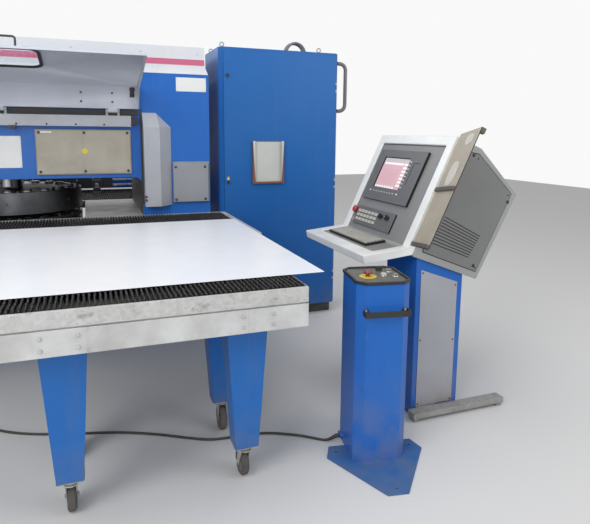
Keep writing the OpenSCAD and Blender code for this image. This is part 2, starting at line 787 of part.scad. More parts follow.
// Caster plates: fixed plates with their pins under the front legs, rigid forks under the rear legs
plate_t = 6;
fork_w = wheel_w + 2 * (free_gap + 4);
fork_top = caster_h - plate_t - 14;
pivot_r = 10;
module caster_fork(trail) {
    difference() {
        union() {
            translate([-trail * 0.5, 0, fork_top - 5]) cylinder(r = fork_w / 2 + 4, h = 5);
            for (side = [-1, 1]) {
                translate([0, side * (fork_w / 2 - 1.85), 0]) rotate([90, 0, 0])
                    linear_extrude(3.7, center = true) polygon([
                        [-30, fork_top - 1], [26, fork_top - 1], [trail + 16, wheel_r - 4],
                        [trail + 10, wheel_r - 16], [trail - 10, wheel_r - 16], [trail - 16, wheel_r]
                    ]);
            }
            translate([-30, -fork_w / 2, fork_top - 5]) cube([56, fork_w, 5]);
            translate([trail, fork_w / 2 + 4, wheel_r]) rotate([90, 0, 0]) cylinder(r = axle_r, h = fork_w + 8);
        }
        translate([0, 0, fork_top - 6]) cylinder(r = pivot_r + fit_gap, h = 8);
    }
}
module caster_plates() {
    color("Silver") {
        for (x = leg_x, y = leg_y) translate([x, y, caster_h - plate_t])
            translate([-52, -46, 0]) cube([104, 92, plate_t]);
        for (x = leg_x) translate([x, leg_y[0], 0]) {
            translate([0, 0, fork_top - 10]) cylinder(r = pivot_r, h = caster_h - fork_top + 4);
            translate([0, 0, fork_top + free_gap]) cylinder(r = 26, h = caster_h - plate_t - fork_top - free_gap + 1);
        }
        for (x = leg_x) translate([x, leg_y[1], 0]) rotate([0, 0, 90]) {
            caster_fork(0);
            translate([0, 0, fork_top - 5]) cylinder(r = 26, h = caster_h - plate_t - fork_top + 6);
        }
    }
}

// Front forks: swivel under the front legs, each with its axle
module left_fork() {
    color("Silver") translate([leg_x[0], leg_y[0], 0]) rotate([0, 0, 90]) caster_fork(caster_trail);
}
module right_fork() {
    color("Silver") translate([leg_x[1], leg_y[0], 0]) rotate([0, 0, 90]) caster_fork(caster_trail);
}

// Caster wheels: a hub with a tread, bored for the axle
module caster_wheel() {
    rotate([0, 90, 0]) difference() {
        union() {
            cylinder(r = wheel_r, h = wheel_w - 8, center = true);
            cylinder(r = wheel_r - 6, h = wheel_w, center = true);
        }
        cylinder(r = axle_r + fit_gap, h = wheel_w + 2, center = true);
        for (side = [-1, 1])
            translate([0, 0, side * wheel_w / 2]) difference() {
                cylinder(r = wheel_r - 14, h = 10, center = true);
                cylinder(r = axle_r + 8, h = 12, center = true);
            }
    }
}
module left_wheel() {
    color(dark) translate([leg_x[0], leg_y[0] + caster_trail, wheel_r]) caster_wheel();
}
module right_wheel() {
    color(dark) translate([leg_x[1], leg_y[0] + caster_trail, wheel_r]) caster_wheel();
}
module rear_wheels() {
    color(dark) for (x = leg_x) translate([x, leg_y[1], wheel_r]) caster_wheel();
}

// Cabinet: a folded steel case with chamfered front corners on a recessed plinth
cab_left = half_w + cab_gap;
cab_front = front_y + cab_behind;
cab_right = cab_left + cab_w;
cab_back = cab_front + cab_d;
module cab_outline(shrink) {
    c = cab_chamfer;
    polygon([
        [cab_left + shrink, cab_front + c + 0.4 * shrink], [cab_left + c + 0.4 * shrink, cab_front + shrink],
        [cab_right - c - 0.4 * shrink, cab_front + shrink], [cab_right - shrink, cab_front + c + 0.4 * shrink],
        [cab_right - shrink, cab_back - shrink], [cab_left + shrink, cab_back - shrink]
    ]);
}
door_left = cab_left + cab_chamfer;
door_w = cab_w - 2 * cab_chamfer;
door_bottom = plinth_h + 6;
door_top = cab_h - 25;
door_y = cab_front - free_gap;
door_axis = [door_left + door_w, door_y - door_t];
hinge_r = 6;
hinge_half = 19.7;
door_hinge_z = [for (share = [0.12, 0.5, 0.88]) door_bottom + share * (door_top - door_bottom)];
module cabinet_body() {
    color(blue) {
        difference() {
            translate([0, 0, plinth_h]) linear_extrude(cab_h - plinth_h) cab_outline(0);
            translate([0, 0, plinth_h + cab_wall]) linear_extrude(cab_h - plinth_h - 2 * cab_wall)
                cab_outline(cab_wall);
            translate([door_left + 30, cab_front - cut, door_bottom + 30])
                cube([door_w - 60, cab_wall + 2 * cut, door_top - door_bottom - 60]);
        }
        for (z = door_hinge_z) translate([door_axis[0], door_axis[1], z]) {
            cylinder(r = hinge_r / 2, h = 4 * hinge_half, center = true);
            for (side = [-1, 1]) translate([0, 0, side * (hinge_half + free_gap + 9)]) {
                cylinder(r = hinge_r, h = 18, center = true);
                translate([free_gap, 0, -9]) cube([hinge_r - free_gap, door_t + free_gap + 4, 18]);
            }
        }
        translate([cab_left + 30, cab_front + 40, 0]) difference() {
            cube([cab_w - 60, cab_d - 70, plinth_h + 1]);
            translate([4, 4, -cut]) cube([cab_w - 68, cab_d - 78, plinth_h + 2]);
        }
    }
}

// Cabinet door: a folded door that covers the cabinet's front, hinged on the right
lock_x = door_left + 28;
lock_z = [0.9 * cab_h + 6, 0.53 * cab_h - 4];
module cabinet_door() {
    color(blue) difference() {
        union() {
            translate([door_left, door_y - door_t, door_bottom]) cube([door_w, door_t, door_top - door_bottom]);
            for (z = door_hinge_z) translate([door_axis[0], door_axis[1], z])
                cylinder(r = hinge_r, h = 2 * hinge_half, center = true);
        }
        for (z = door_hinge_z) translate([door_axis[0], door_axis[1], z]) {
            cylinder(r = hinge_r / 2 + fit_gap, h = 4 * hinge_half + 2, center = true);
            for (side = [-1, 1]) translate([0, 0, side * (hinge_half + free_gap + 9)])
                cylinder(r = hinge_r + free_gap, h = 18 + 2 * free_gap, center = true);
        }
        translate([door_left + 34, door_y - door_t + 3, door_bottom + 34])
            cube([door_w - 68, door_t, door_top - door_bottom - 68]);
        for (z = lock_z)
            translate([lock_x, door_y + 1, z]) rotate([90, 0, 0]) cylinder(r = lock_r - 3 + fit_gap, h = door_t + 2);
    }
}

// Door locks: quarter turn inserts
module lock_insert(z) {
    translate([lock_x, door_y - 1, z]) rotate([90, 0, 0]) difference() {
        union() {
            cylinder(r = lock_r - 3, h = door_t);
            translate([0, 0, door_t - 1 + free_gap]) cylinder(r = lock_r, h = 7);
        }
        translate([0, 0, door_t + 4]) cube([lock_r, 4, 6], center = true);
    }
}
module upper_lock() {
    color("black") lock_insert(lock_z[0]);
}
module lower_lock() {
    color("black") lock_insert(lock_z[1]);
}

// Document holder: a shallow pocket screwed to the door
doc_x = door_left + 217;
doc_z = 0.535 * cab_h - 29;
module document_holder() {
    back = door_y - door_t;
    color("Sienna") difference() {
        translate([doc_x, back - 22, doc_z]) cube([doc_w, 22, doc_h]);
        translate([doc_x + 12, back - 19, doc_z + 8]) cube([doc_w - 24, 16, doc_h]);
        translate([doc_x + 22, back - 23, doc_z + 16]) cube([doc_w - 44, 6, doc_h]);
    }
    color("white") translate([doc_x + 13, back - 5, doc_z + 8]) cube([doc_w - 26, 2, doc_h - 14]);
}

// Lifting eyes: four eye bolts on the cabinet's roof
module lifting_eyes() {
    color("Silver") for (x = [cab_left + 36, cab_right - 152], y = [cab_front + 60, cab_back - 60])
        translate([x, y, cab_h]) {
            cylinder(r = 13, h = 7);
            translate([0, 0, 24]) rotate([90, 0, 0]) rotate_extrude() translate([15, 0]) circle(4.5, $fn = 24);
        }
}

// Conduits: two loops on the roof and one down the right side, each between its glands
module quarter_bend(bend_r, tube_r) {
    rotate_extrude(angle = 90) translate([bend_r, 0]) circle(tube_r, $fn = 24);
}
module cabinet_conduits() {
    loop_r = 78;
    side_r = 60;
    side_top = cab_h - 66;
    side_low = side_top - 380;
    side_y = cab_front + 90;
    color("Tan") {
        for (y = [cab_front + 120, cab_front + 165])
            translate([cab_left + 650, y, cab_h]) {
                rotate([90, 0, 0]) rotate_extrude(angle = 180) translate([loop_r, 0]) circle(11, $fn = 24);
                for (x = [-loop_r, loop_r]) translate([x, 0, 0]) cylinder(r = 18, h = 16);
            }
        translate([cab_right, side_y, side_top]) rotate([0, 90, 0]) cylinder(r = 27, h = 22);
        translate([cab_right, side_y, side_low]) rotate([0, 90, 0]) cylinder(r = 27, h = 22);
        for (z = [side_top, side_low])
            translate([cab_right + 21, side_y, z]) rotate([0, 90, 0]) cylinder(r = 16, h = 22);
        translate([cab_right + 42, side_y, side_top - side_r]) rotate([90, 0, 0]) quarter_bend(side_r, 16);
        translate([cab_right + 42, side_y, side_low + side_r]) rotate([90, 90, 0]) quarter_bend(side_r, 16);
        translate([cab_right + 42 + side_r, side_y, side_low + side_r])
            cylinder(r = 16, h = side_top - side_low - 2 * side_r);
    }
}

// Console: outline points of the shelf and the screen face in X and Z
con_y = -con_near;
bend = [nose_x + shelf_l, nose_z + shelf_rise];
face_dir = [cos(face_slope), sin(face_slope)];
face_out = [-sin(face_slope), cos(face_slope)];
face_top = bend + face_l * face_dir;
shelf_dir = [shelf_l, shelf_rise] / norm([shelf_l, shelf_rise]);
shelf_out = [-shelf_dir[1], shelf_dir[0]];
inner_bend = bend - bezel_t * face_out - [12, 22];
body_top = face_top - bezel_t * face_out;
function face_point(s, depth) = bend + s * face_dir - depth * face_out;
function shelf_point(s, depth) = [nose_x, nose_z] + s * shelf_dir - depth * shelf_out;

// Places a piece on the screen face: X up the slope, Y across, Z out of the face
module on_face(s, y, depth = face_depth) {
    p = face_point(s, depth);
    translate([p[0], y, p[1]]) rotate([0, -face_slope, 0]) children();
}
module on_shelf(s, y, depth = face_depth) {
    p = shelf_point(s, depth);
    translate([p[0], y, p[1]]) rotate([0, -atan2(shelf_rise, shelf_l), 0]) children();
}

// White console frame: shelf edge and screen border in one folded piece
bezel_low = [nose_x + 10, nose_z - bezel_t];
module console_bezel() {
    inner_near = con_y + bezel_border;
    inner_w = con_w - 2 * bezel_border;
    color("WhiteSmoke") difference() {
        along_y(con_y, con_w)
            polygon([bezel_low, [nose_x, nose_z], bend, face_top, body_top, inner_bend]);
        along_y(inner_near, inner_w) polygon([
            shelf_point(84, -cut), shelf_point(84, 2 * bezel_t), [bend[0] + 20, bend[1] - 2 * bezel_t],
            face_point(face_l - bezel_border, 2 * bezel_t), face_point(face_l - bezel_border, -cut), bend + [-40, 40]
        ]);
    }
}

// Console box: grey case behind the white frame, with the recessed face
con_far_top = [body_top[0] + 118, body_top[1] - 48];
con_far = [con_far_top[0] + 0.62 * con_back, con_far_top[1] - 0.615 * con_back];
con_low = con_far - [0.59 * con_back, 1.1325 * con_back];
con_heel = [inner_bend[0] + 6, inner_bend[1] - 10];
module console_body() {
    color("DarkGray") difference() {
        union() {
            along_y(con_y, con_w)
                polygon([inner_bend, body_top, con_far_top, con_far, con_low, con_heel]);
            along_y(con_y + bezel_border, con_w - 2 * bezel_border) polygon([
                shelf_point(84, face_depth), shelf_point(shelf_l - 8, face_depth),
                face_point(4, face_depth), face_point(face_l - bezel_border, face_depth),
                face_point(face_l - bezel_border, bezel_t + 1), inner_bend + [8, 0], inner_bend + [0, -6],
                shelf_point(84, bezel_t - 4)
            ]);
        }
        along_y(con_y + 6, con_w - 12) polygon([
            con_heel + [16, 12], inner_bend + [22, 26], body_top + [22, -26], con_far_top + [-4, -18],
            con_far + [-16, 0], con_low + [-4, 16]
        ]);
        on_face(stop_s, stop_y) translate([0, 0, -60]) cylinder(r = 9 + fit_gap, h = 80);
    }
}

// Console side panel: a screwed plate with cooling slots on the near side
panel_t = 3;
slot_a = [2233, 1077];
slot_b = [2155, 946];
module console_side_panel() {
    color("Gray") difference() {
        along_y(con_y - panel_t, panel_t) polygon([
            con_far_top + [-14, -30], con_far + [-38, 2], con_low + [-8, 44],
            con_heel + [58, 22], inner_bend + [62, 46], body_top + [14, -62]
        ]);
        for (i = [0:9]) {
            p = slot_a + (slot_b - slot_a) * i / 9;
            translate([p[0], con_y - panel_t - cut, p[1]]) rotate([0, 27 - 0.6 * i, 0])
                cube([258, panel_t + 2 * cut, 5]);
        }
    }
}

// Panel modules: the screen's surround and the key panel, two like plates on the recessed face
screen_mid = con_y + 0.55 * con_w;
module_t = 16;
module screen_outline() {
    square([320, 497], center = true);
}
module panel_modules() {
    color(dark) {
        on_face(362, screen_mid, face_depth - seat_gap) difference() {
            linear_extrude(module_t) screen_outline();
            translate([16, 37, module_t - 8]) linear_extrude(10) square([196, 282], center = true);
            translate([24, -185, module_t - 3]) linear_extrude(5) square([130, 64], center = true);
        }
        difference() {
            on_face(92, con_y + 0.59 * con_w, face_depth - seat_gap) {
                linear_extrude(10) square([112, 436], center = true);
                for (i = [0:2], j = [0:5])
                    translate([26 - i * 26, 180 - j * 40, 9]) linear_extrude(4) square([17, 30], center = true);
            }
            for (y = knob_y) on_face(114, y) translate([0, 0, -cut]) cylinder(r = 5 + fit_gap, h = 14);
        }
    }
}

// Screen glass: the pane in front of the tube
module screen_glass() {
    color("Thistle") on_face(378, screen_mid + 37, face_depth - 2 * seat_gap) translate([0, 0, module_t - 8])
        linear_extrude(4) square([195, 281], center = true);
}

// Console stop button: a red mushroom on the recessed face
stop_s = 118;
stop_y = con_y + con_w - bezel_border - 24;
module mushroom_button() {
    translate([0, 0, -12]) cylinder(r = 9, h = 30);
    translate([0, 0, 16]) cylinder(r = mushroom_r, h = 10);
    translate([0, 0, 26]) cylinder(r1 = mushroom_r, r2 = mushroom_r - 6, h = 5);
}
module console_stop() {
    color("FireBrick") on_face(stop_s, stop_y) mushroom_button();
}

// Console knobs: two pointer knobs on the key panel
knob_y = [con_y + 365, con_y + 295];
module pointer_knob() {
    translate([0, 0, -9]) cylinder(r = 5, h = 10);
    cylinder(r = 13, h = 14);
    translate([0, 0, 17]) cube([30, 9, 12], center = true);
}
module left_knob() {
    color("black") on_face(114, knob_y[0]) translate([0, 0, 10 + free_gap]) pointer_knob();
}
module right_knob() {
    color("black") on_face(114, knob_y[1]) translate([0, 0, 10 + free_gap]) pointer_knob();
}

// Keyboard: a flat keyboard on the shelf
module keyboard() {
    color("Gray") on_shelf(183, con_y + 0.58 * con_w, face_depth - seat_gap) {
        linear_extrude(14) square([122, 470], center = true);
        for (i = [0:4], j = [0:15])
            translate([42 - i * 21, 205 - j * 27.4, 13]) linear_extrude(5) square([16, 22], center = true);
    }
}

// Copy wing: a beige plate on two brackets beside the console, turned to the operator
module copy_wing() {
    p = face_point(18, 18);
    color("Tan") translate([p[0], con_y - 3, p[1]]) rotate([0, -face_slope, 0]) rotate([-wing_turn, 0, 0]) {
        translate([0, -wing_w, 0]) cube([wing_l, wing_w, 3]);
        for (s = [0, 0.48 * wing_l]) translate([s, -wing_w, 2]) {
            cube([20, wing_w - 8, 12]);
        }
        translate([wing_l - 26, -wing_w, -22]) cube([26, 30, 24]);
    }
    color("Tan") for (s = [40, wing_l - 80])
        on_face(s, con_y - 14, bezel_t - 6) cube([44, 14, bezel_t - 22]);
}

// Console column: a blue post whose top follows the box's sloped underside
col_left = nose_x + shelf_l + 67;
col_y = con_y + 15;
function under_z(x) = con_heel[1] + (x - con_heel[0]) * (con_low[1] - con_heel[1]) / (con_low[0] - con_heel[0]);
module console_column() {
    color(blue) difference() {
        along_y(col_y, con_col_d) polygon([
            [col_left, 0], [col_left + con_col_w, 0],
            [col_left + con_col_w, under_z(col_left + con_col_w)], [col_left, under_z(col_left)]
        ]);
        along_y(col_y + 4, con_col_d - 8) polygon([
            [col_left + 4, -cut], [col_left + con_col_w - 4, -cut],
            [col_left + con_col_w - 4, under_z(col_left + con_col_w) - 5], [col_left + 4, under_z(col_left) - 5]
        ]);
    }
}

// Column panel: a light plate screwed to the column's front
module column_panel() {
    left = col_left + 28;
    right = col_left + con_col_w - 32;
    color(pale) along_y(col_y - 3, 3) polygon([
        [left, 45], [right, 45], [right, under_z(right) - 50], [left, under_z(left) - 54]
    ]);
}

// Floor channel: a light duct on the floor beside the column
module floor_channel() {
    left = col_left - 30;
    color("Silver") {
        difference() {
            translate([left, col_y - 80, 18]) cube([channel_l, 60, 32]);
            translate([left + 3, col_y - 77, 17]) cube([channel_l - 6, 54, 30]);
        }
        for (x = [left + 8, left + channel_l - 38])
            translate([x, col_y - 74, 0]) cube([30, 48, 50]);
        translate([left + 60, col_y - 21, 20]) cube([120, 21, 24]);
    }
}

// Pedestal: everything on it stands in one turned frame
module on_pedestal() {
    translate([ped_x, -ped_y, 0]) rotate([0, 0, ped_turn]) children();
}
holes_y = -139;
module pedestal_column() {
    color(blue) on_pedestal() difference() {
        union() {
            linear_extrude(base_t) polygon([
                [-ped_w / 2, ped_d / 2], [ped_w / 2, ped_d / 2], [ped_w / 2, 14], [206, 14],
                [234, -70], [46, -380], [-46, -380], [-234, -70], [-206, 14], [-ped_w / 2, 14]
            ]);
            difference() {
                linear_extrude(ped_h - 12) cut_rect(ped_w, ped_d, ped_chamfer);
                translate([0, 0, base_t]) linear_extrude(ped_h) cut_rect(ped_w - 6, ped_d - 6, ped_chamfer - 2);
            }
            translate([-ped_w / 2 - 14, 60, 34]) rotate([0, 90, 0]) cylinder(r = 12, h = 15);
        }
        translate([0, holes_y, 0]) for (a = [30, 150, 270])
            rotate([0, 0, a]) translate([bolt_circle_r, 0, -cut]) cylinder(r = bolt_r, h = base_t + 2 * cut);
    }
}

// Pedestal trim: a black rubber edge round the top
trim_h = 14;
module pedestal_trim() {
    color("black") on_pedestal() difference() {
        translate([0, 0, ped_h - trim_h]) linear_extrude(trim_h) cut_rect(ped_w + 8, ped_d + 8, ped_chamfer + 2);
        translate([0, 0, ped_h - trim_h - cut]) linear_extrude(trim_h - 11 + cut)
            cut_rect(ped_w, ped_d, ped_chamfer);
        translate([0, 0, ped_h - trim_h - cut]) linear_extrude(trim_h + 2 * cut)
            cut_rect(ped_w - 14, ped_d - 14, ped_chamfer - 4);
    }
}

// Pedestal panel: the light metal plate that carries the buttons
panel_z = ped_h - 8;
ped_stop = [-44, -20];
ped_selector = [44, 86];
ped_start = [34, -14];
ped_near = [84, -30];
ped_far = [84, 56];
module pedestal_panel() {
    color("Silver") on_pedestal() difference() {
        translate([0, 0, panel_z - 4]) linear_extrude(4) cut_rect(ped_w - 14, ped_d - 14, ped_chamfer - 4);
        for (p = [ped_stop, ped_selector, ped_start, ped_near, ped_far])
            translate([p[0], p[1], panel_z - 5]) cylinder(r = 9 + fit_gap, h = 6);
    }
}

// Stop ring: the yellow disc under the stop button
module stop_ring() {
    color("Gold") on_pedestal() translate([ped_stop[0], ped_stop[1], panel_z]) difference() {
        cylinder(r = ring_r, h = 4);
        translate([0, 0, -cut]) cylinder(r = 9 + fit_gap, h = 6);
    }
}

// Pedestal buttons: each has a stem that slides or turns in the panel
module stem() {
    translate([0, 0, -12]) cylinder(r = 9, h = 14);
}
module pedestal_stop() {
    color("Maroon") on_pedestal() translate([ped_stop[0], ped_stop[1], panel_z]) mushroom_button();
}
module selector() {
    color("black") on_pedestal() translate([ped_selector[0], ped_selector[1], panel_z]) {
        stem();
        translate([0, 0, free_gap]) cylinder(r = button_r, h = 6);
        translate([0, 0, 12]) cube([34, 10, 14], center = true);
    }
}
module push_button(place) {
    on_pedestal() translate([place[0], place[1], panel_z]) {
        stem();
        translate([0, 0, 1]) cylinder(r = 9, h = 8);
        translate([0, 0, 7]) cylinder(r = button_r, h = 7);
    }
}
module start_button() {
    color("white") push_button(ped_start);
}
module near_button() {
    color("Gray") push_button(ped_near);
}
module far_button() {
    color("Gray") push_button(ped_far);
}

// Pedestal handle: a flat bar bent round in front of the column
module pedestal_handle() {
    color("black") on_pedestal() translate([0, -ped_d / 2, 712]) difference() {
        translate([-104, -46, 0]) cube([208, 46, 26]);
        translate([-98, -40, -cut]) cube([196, 40 + cut, 28]);
    }
    color("black") on_pedestal() for (x = [-104, 78])
        translate([x, -ped_d / 2 - 4, 712]) cube([26, 4, 26]);
}

// Floor cable: lies on the floor from the pedestal's back to the press frame
cable_r = cable_d / 2;
cable_points = [
    [1620, -2315, 34], [1600, -2311, 32], [1576, -2302, 18], [1550, -2286, 7], [1510, -2256, 7],
    [1460, -2216, 7], [1390, -2172, 7], [1310, -2134, 7], [1220, -2112, 7], [1120, -2108, 7],
    [1020, -2092, 7], [920, -2040, 7], [820, -1978, 7], [720, -1924, 7], [620, -1880, 7],
    [520, -1846, 7], [420, -1818, 7], [320, -1788, 7], [220, -1752, 7], [120, -1704, 7],
    [30, -1640, 7], [-40, -1550, 7], [-90, -1440, 7], [-120, -1310, 7], [-136, -1170, 7],
    [-144, -1020, 7], [-148, -870, 7], [-150, -740, 7], [-150, -660, 10], [-150, -610, 26],
    [-150, -570, 50], [-150, -540, 59], [-150, -512, 60]
];
// Point and direction of the route, smoothed between the points that are chosen by hand
function spline_at(p0, p1, p2, p3, t) =
    0.5 * (2 * p1 + t * (p2 - p0) + t * t * (2 * p0 - 5 * p1 + 4 * p2 - p3)
        + t * t * t * (3 * p1 - p0 - 3 * p2 + p3));
function route_point(i) = cable_points[max(0, min(len(cable_points) - 1, i))];
cable_steps = 2;
cable_path = [
    for (i = [0:len(cable_points) - 2], k = [0:cable_steps - 1])
        spline_at(route_point(i - 1), route_point(i), route_point(i + 1), route_point(i + 2), k / cable_steps),
    cable_points[len(cable_points) - 1]
];
cable_sides = 8;
function unit(v) = v / norm(v);
function path_dir(i) = unit(cable_path[min(i + 1, len(cable_path) - 1)] - cable_path[max(i - 1, 0)]);
function ring_at(i) =
    let (d = path_dir(i), side = unit(cross(d, [0, 0, 1])), up = cross(side, d))
    [for (k = [0:cable_sides - 1])
        cable_path[i] + cable_r * (cos(k * 360 / cable_sides) * side + sin(k * 360 / cable_sides) * up)];
module floor_cable() {
    rings = len(cable_path);
    n = cable_sides;
    color("black") polyhedron(
        points = [for (i = [0:rings - 1]) each ring_at(i)],
        faces = concat(
            [[for (k = [0:n - 1]) k]],
            [for (i = [0:rings - 2], k = [0:n - 1])
                [i * n + k, (i + 1) * n + k, (i + 1) * n + (k + 1) % n, i * n + (k + 1) % n]],
            [[for (k = [n - 1:-1:0]) (rings - 1) * n + k]]
        )
    );
}

main_frame();
top_cover();
hinge_beam();
hood();
window_gasket();
hood_window();
hood_handle();
junction_plate();
column_covers();
access_plates();
cover_screws();
sign_plates();
upper_turret();
lower_turret();
ram();
machine_table();
brush_strips();
cross_slide();
carriage();
sheet_blank();
extension_rail();
extension_skirt();
extension_legs();
caster_plates();
left_fork();
right_fork();
left_wheel();
right_wheel();
rear_wheels();
cabinet_body();
cabinet_door();
upper_lock();
lower_lock();
document_holder();
lifting_eyes();
cabinet_conduits();
console_column();
column_panel();
floor_channel();
console_body();
console_side_panel();
console_bezel();
panel_modules();
screen_glass();
console_stop();
left_knob();
right_knob();
keyboard();
copy_wing();
pedestal_column();
pedestal_panel();
pedestal_trim();
stop_ring();
pedestal_stop();
selector();
start_button();
near_button();
far_button();
pedestal_handle();
floor_cable();
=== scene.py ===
import math
import random

import bmesh
import bpy
from mathutils import Matrix, Vector


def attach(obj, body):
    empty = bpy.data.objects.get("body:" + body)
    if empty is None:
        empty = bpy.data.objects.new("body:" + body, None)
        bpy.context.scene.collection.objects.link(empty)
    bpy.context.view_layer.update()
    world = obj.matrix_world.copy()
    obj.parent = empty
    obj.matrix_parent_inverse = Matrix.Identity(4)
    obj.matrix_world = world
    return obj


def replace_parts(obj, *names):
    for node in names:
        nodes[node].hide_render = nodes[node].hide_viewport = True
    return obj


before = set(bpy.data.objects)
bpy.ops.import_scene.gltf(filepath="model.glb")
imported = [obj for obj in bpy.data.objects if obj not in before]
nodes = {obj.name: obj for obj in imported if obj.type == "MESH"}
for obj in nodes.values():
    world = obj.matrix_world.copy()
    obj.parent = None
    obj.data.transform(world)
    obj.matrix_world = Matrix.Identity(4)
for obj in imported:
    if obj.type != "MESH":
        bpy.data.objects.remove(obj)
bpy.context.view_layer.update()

scene = bpy.context.scene

# Camera: stands at head height before the right end of the extension table, where the photograph
# was taken, and looks over the sheet to the press and the console. The picture is 590 x 524.
cam_data = bpy.data.cameras.new("camera")
picture_width, focal_pixels, sensor_width = 590, 553.5, 36.0
cam_data.sensor_width = sensor_width
cam_data.lens = focal_pixels / picture_width * sensor_width
cam_data.shift_x = -0.0012
cam_data.shift_y = -0.0736
cam_data.clip_start = 0.05
cam_data.clip_end = 60.0
camera = bpy.data.objects.new("camera", cam_data)
scene.collection.objects.link(camera)
scene.camera = camera
yaw, pitch, roll = math.radians(20.69), math.radians(8.78), math.radians(-0.49)
look = Vector((math.sin(yaw) * math.cos(pitch), math.cos(yaw) * math.cos(pitch), -math.sin(pitch)))
level = Vector((math.cos(yaw), -math.sin(yaw), 0))
below = look.cross(level)
across = level * math.cos(roll) + below * math.sin(roll)
down = below * math.cos(roll) - level * math.sin(roll)
stance = Matrix((across, -down, -look)).transposed().to_4x4()
stance.translation = Vector((0.515, -4.600, 1.500))
camera.matrix_world = stance

# Floor cable: a 12 mm black rubber lead that leaves the gland behind the operator's pedestal, lies in
# loose bends on the floor under the tables and goes into the gland on the press frame's front.
cable_r = 0.006
cable_points = [
    (1620, -2315, 34), (1600, -2311, 32), (1576, -2302, 18), (1550, -2286, 7), (1510, -2256, 7),
    (1460, -2216, 7), (1390, -2172, 7), (1310, -2134, 7), (1220, -2112, 7), (1120, -2108, 7),
    (1020, -2092, 7), (920, -2040, 7), (820, -1978, 7), (720, -1924, 7), (620, -1880, 7),
    (520, -1846, 7), (420, -1818, 7), (320, -1788, 7), (220, -1752, 7), (120, -1704, 7),
    (30, -1640, 7), (-40, -1550, 7), (-90, -1440, 7), (-120, -1310, 7), (-136, -1170, 7),
    (-144, -1020, 7), (-148, -870, 7), (-150, -740, 7), (-150, -660, 10), (-150, -610, 26),
    (-150, -570, 50), (-150, -540, 59), (-150, -512, 60),
]


def smooth_route(points, steps):
    """Runs a curve through points in millimetres and gives it back in metres."""
    last = len(points) - 1
    route = []
    for i in range(last):
        a, b, c, d = (Vector(points[max(0, min(last, i + k))]) / 1000 for k in (-1, 0, 1, 2))
        for k in range(steps):
            t = k / steps
            bend = t * (c - a) + t * t * (2 * a - 5 * b + 4 * c - d) + t ** 3 * (3 * b - a - 3 * c + d)
            route.append(b + bend / 2)
    route.append(Vector(points[last]) / 1000)
    return route


def tube_mesh(name, route, radii, sides=16):
    """A closed round tube along a route, with one radius for all points or one for each."""
    widths = radii if isinstance(radii, list) else [radii] * len(route)
    last = len(route) - 1
    side = (route[1] - route[0]).orthogonal().normalized()
    corners = []
    for i, point in enumerate(route):
        ahead = (route[min(i + 1, last)] - route[max(i - 1, 0)]).normalized()
        side = (side - ahead * side.dot(ahead)).normalized()
        other = ahead.cross(side)
        for k in range(sides):
            turn = 2 * math.pi * k / sides
            corners.append(point + widths[i] * (math.cos(turn) * side + math.sin(turn) * other))
    walls = [
        (i * sides + k, i * sides + (k + 1) % sides, (i + 1) * sides + (k + 1) % sides, (i + 1) * sides + k)
        for i in range(last) for k in range(sides)
    ]
    ends = [tuple(range(sides - 1, -1, -1)), tuple(range(last * sides, (last + 1) * sides))]
    mesh = bpy.data.meshes.new(name)
    mesh.from_pydata(corners, [], walls + ends)
    return mesh


def poured(shell, name):
    """Turns a bmesh into a mesh and frees it."""
    mesh = bpy.data.meshes.new(name)
    shell.to_mesh(mesh)
    shell.free()
    return mesh


def keep(name, mesh, body, finishes, smooth=32):
    """Puts a mesh in the scene as a piece that rides on a body, smooth where it bends less than an angle."""
    made = bpy.data.objects.new(name, mesh)
    scene.collection.objects.link(made)
    if mesh.materials and mesh.materials[0] is None:
        mesh.materials.clear()
    if not mesh.materials:
        for one in finishes if isinstance(finishes, list) else [finishes]:
            mesh.materials.append(one)
    mesh.shade_smooth()
    mesh.set_sharp_from_angle(angle=math.radians(smooth))
    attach(made, body)
    return made


def step(tree, kind, wires, **settings):
    """Adds a node to a shader or geometry tree. A socket takes a value or another node's output."""
    made = tree.nodes.new(kind)
    for key, value in settings.items():
        setattr(made, key, value)
    for key, value in wires.items():
        if isinstance(value, bpy.types.NodeSocket):
            tree.links.new(value, made.inputs[key])
        else:
            made.inputs[key].default_value = value
    return made


def sockets(tree, inputs, outputs):
    """Names a tree's inputs and outputs, each with its kind as the last word, and gives its inputs."""
    for side, names in (("INPUT", inputs), ("OUTPUT", outputs)):
        for label, _, kind in (name.rpartition(" ") for name in names):
            tree.interface.new_socket(label, in_out=side, socket_type="NodeSocket" + kind)
    return tree.nodes.new("NodeGroupInput").outputs


def sums(tree, how, first, second=0.0, third=0.0):
    return step(tree, "ShaderNodeMath", {0: first, 1: second, 2: third}, operation=how).outputs[0]


def mixed(tree, factor, first, second):
    wires = {0: factor, 6: first, 7: second}
    return step(tree, "ShaderNodeMix", wires, data_type="RGBA").outputs[2]


def ramp(tree, value, low, high, to_low=0.0, to_high=1.0):
    wires = {0: value, 1: low, 2: high, 3: to_low, 4: to_high}
    return step(tree, "ShaderNodeMapRange", wires, interpolation_type="SMOOTHSTEP").outputs[0]


def noise(tree, at, scale, detail=4.0, rough=0.6):
    wires = {"Vector": at, "Scale": scale, "Detail": detail, "Roughness": rough}
    return step(tree, "ShaderNodeTexNoise", wires).outputs["Fac"]


def stretched(tree, at, scales):
    return step(tree, "ShaderNodeVectorMath", {0: at, 1: scales}, operation="MULTIPLY").outputs[0]


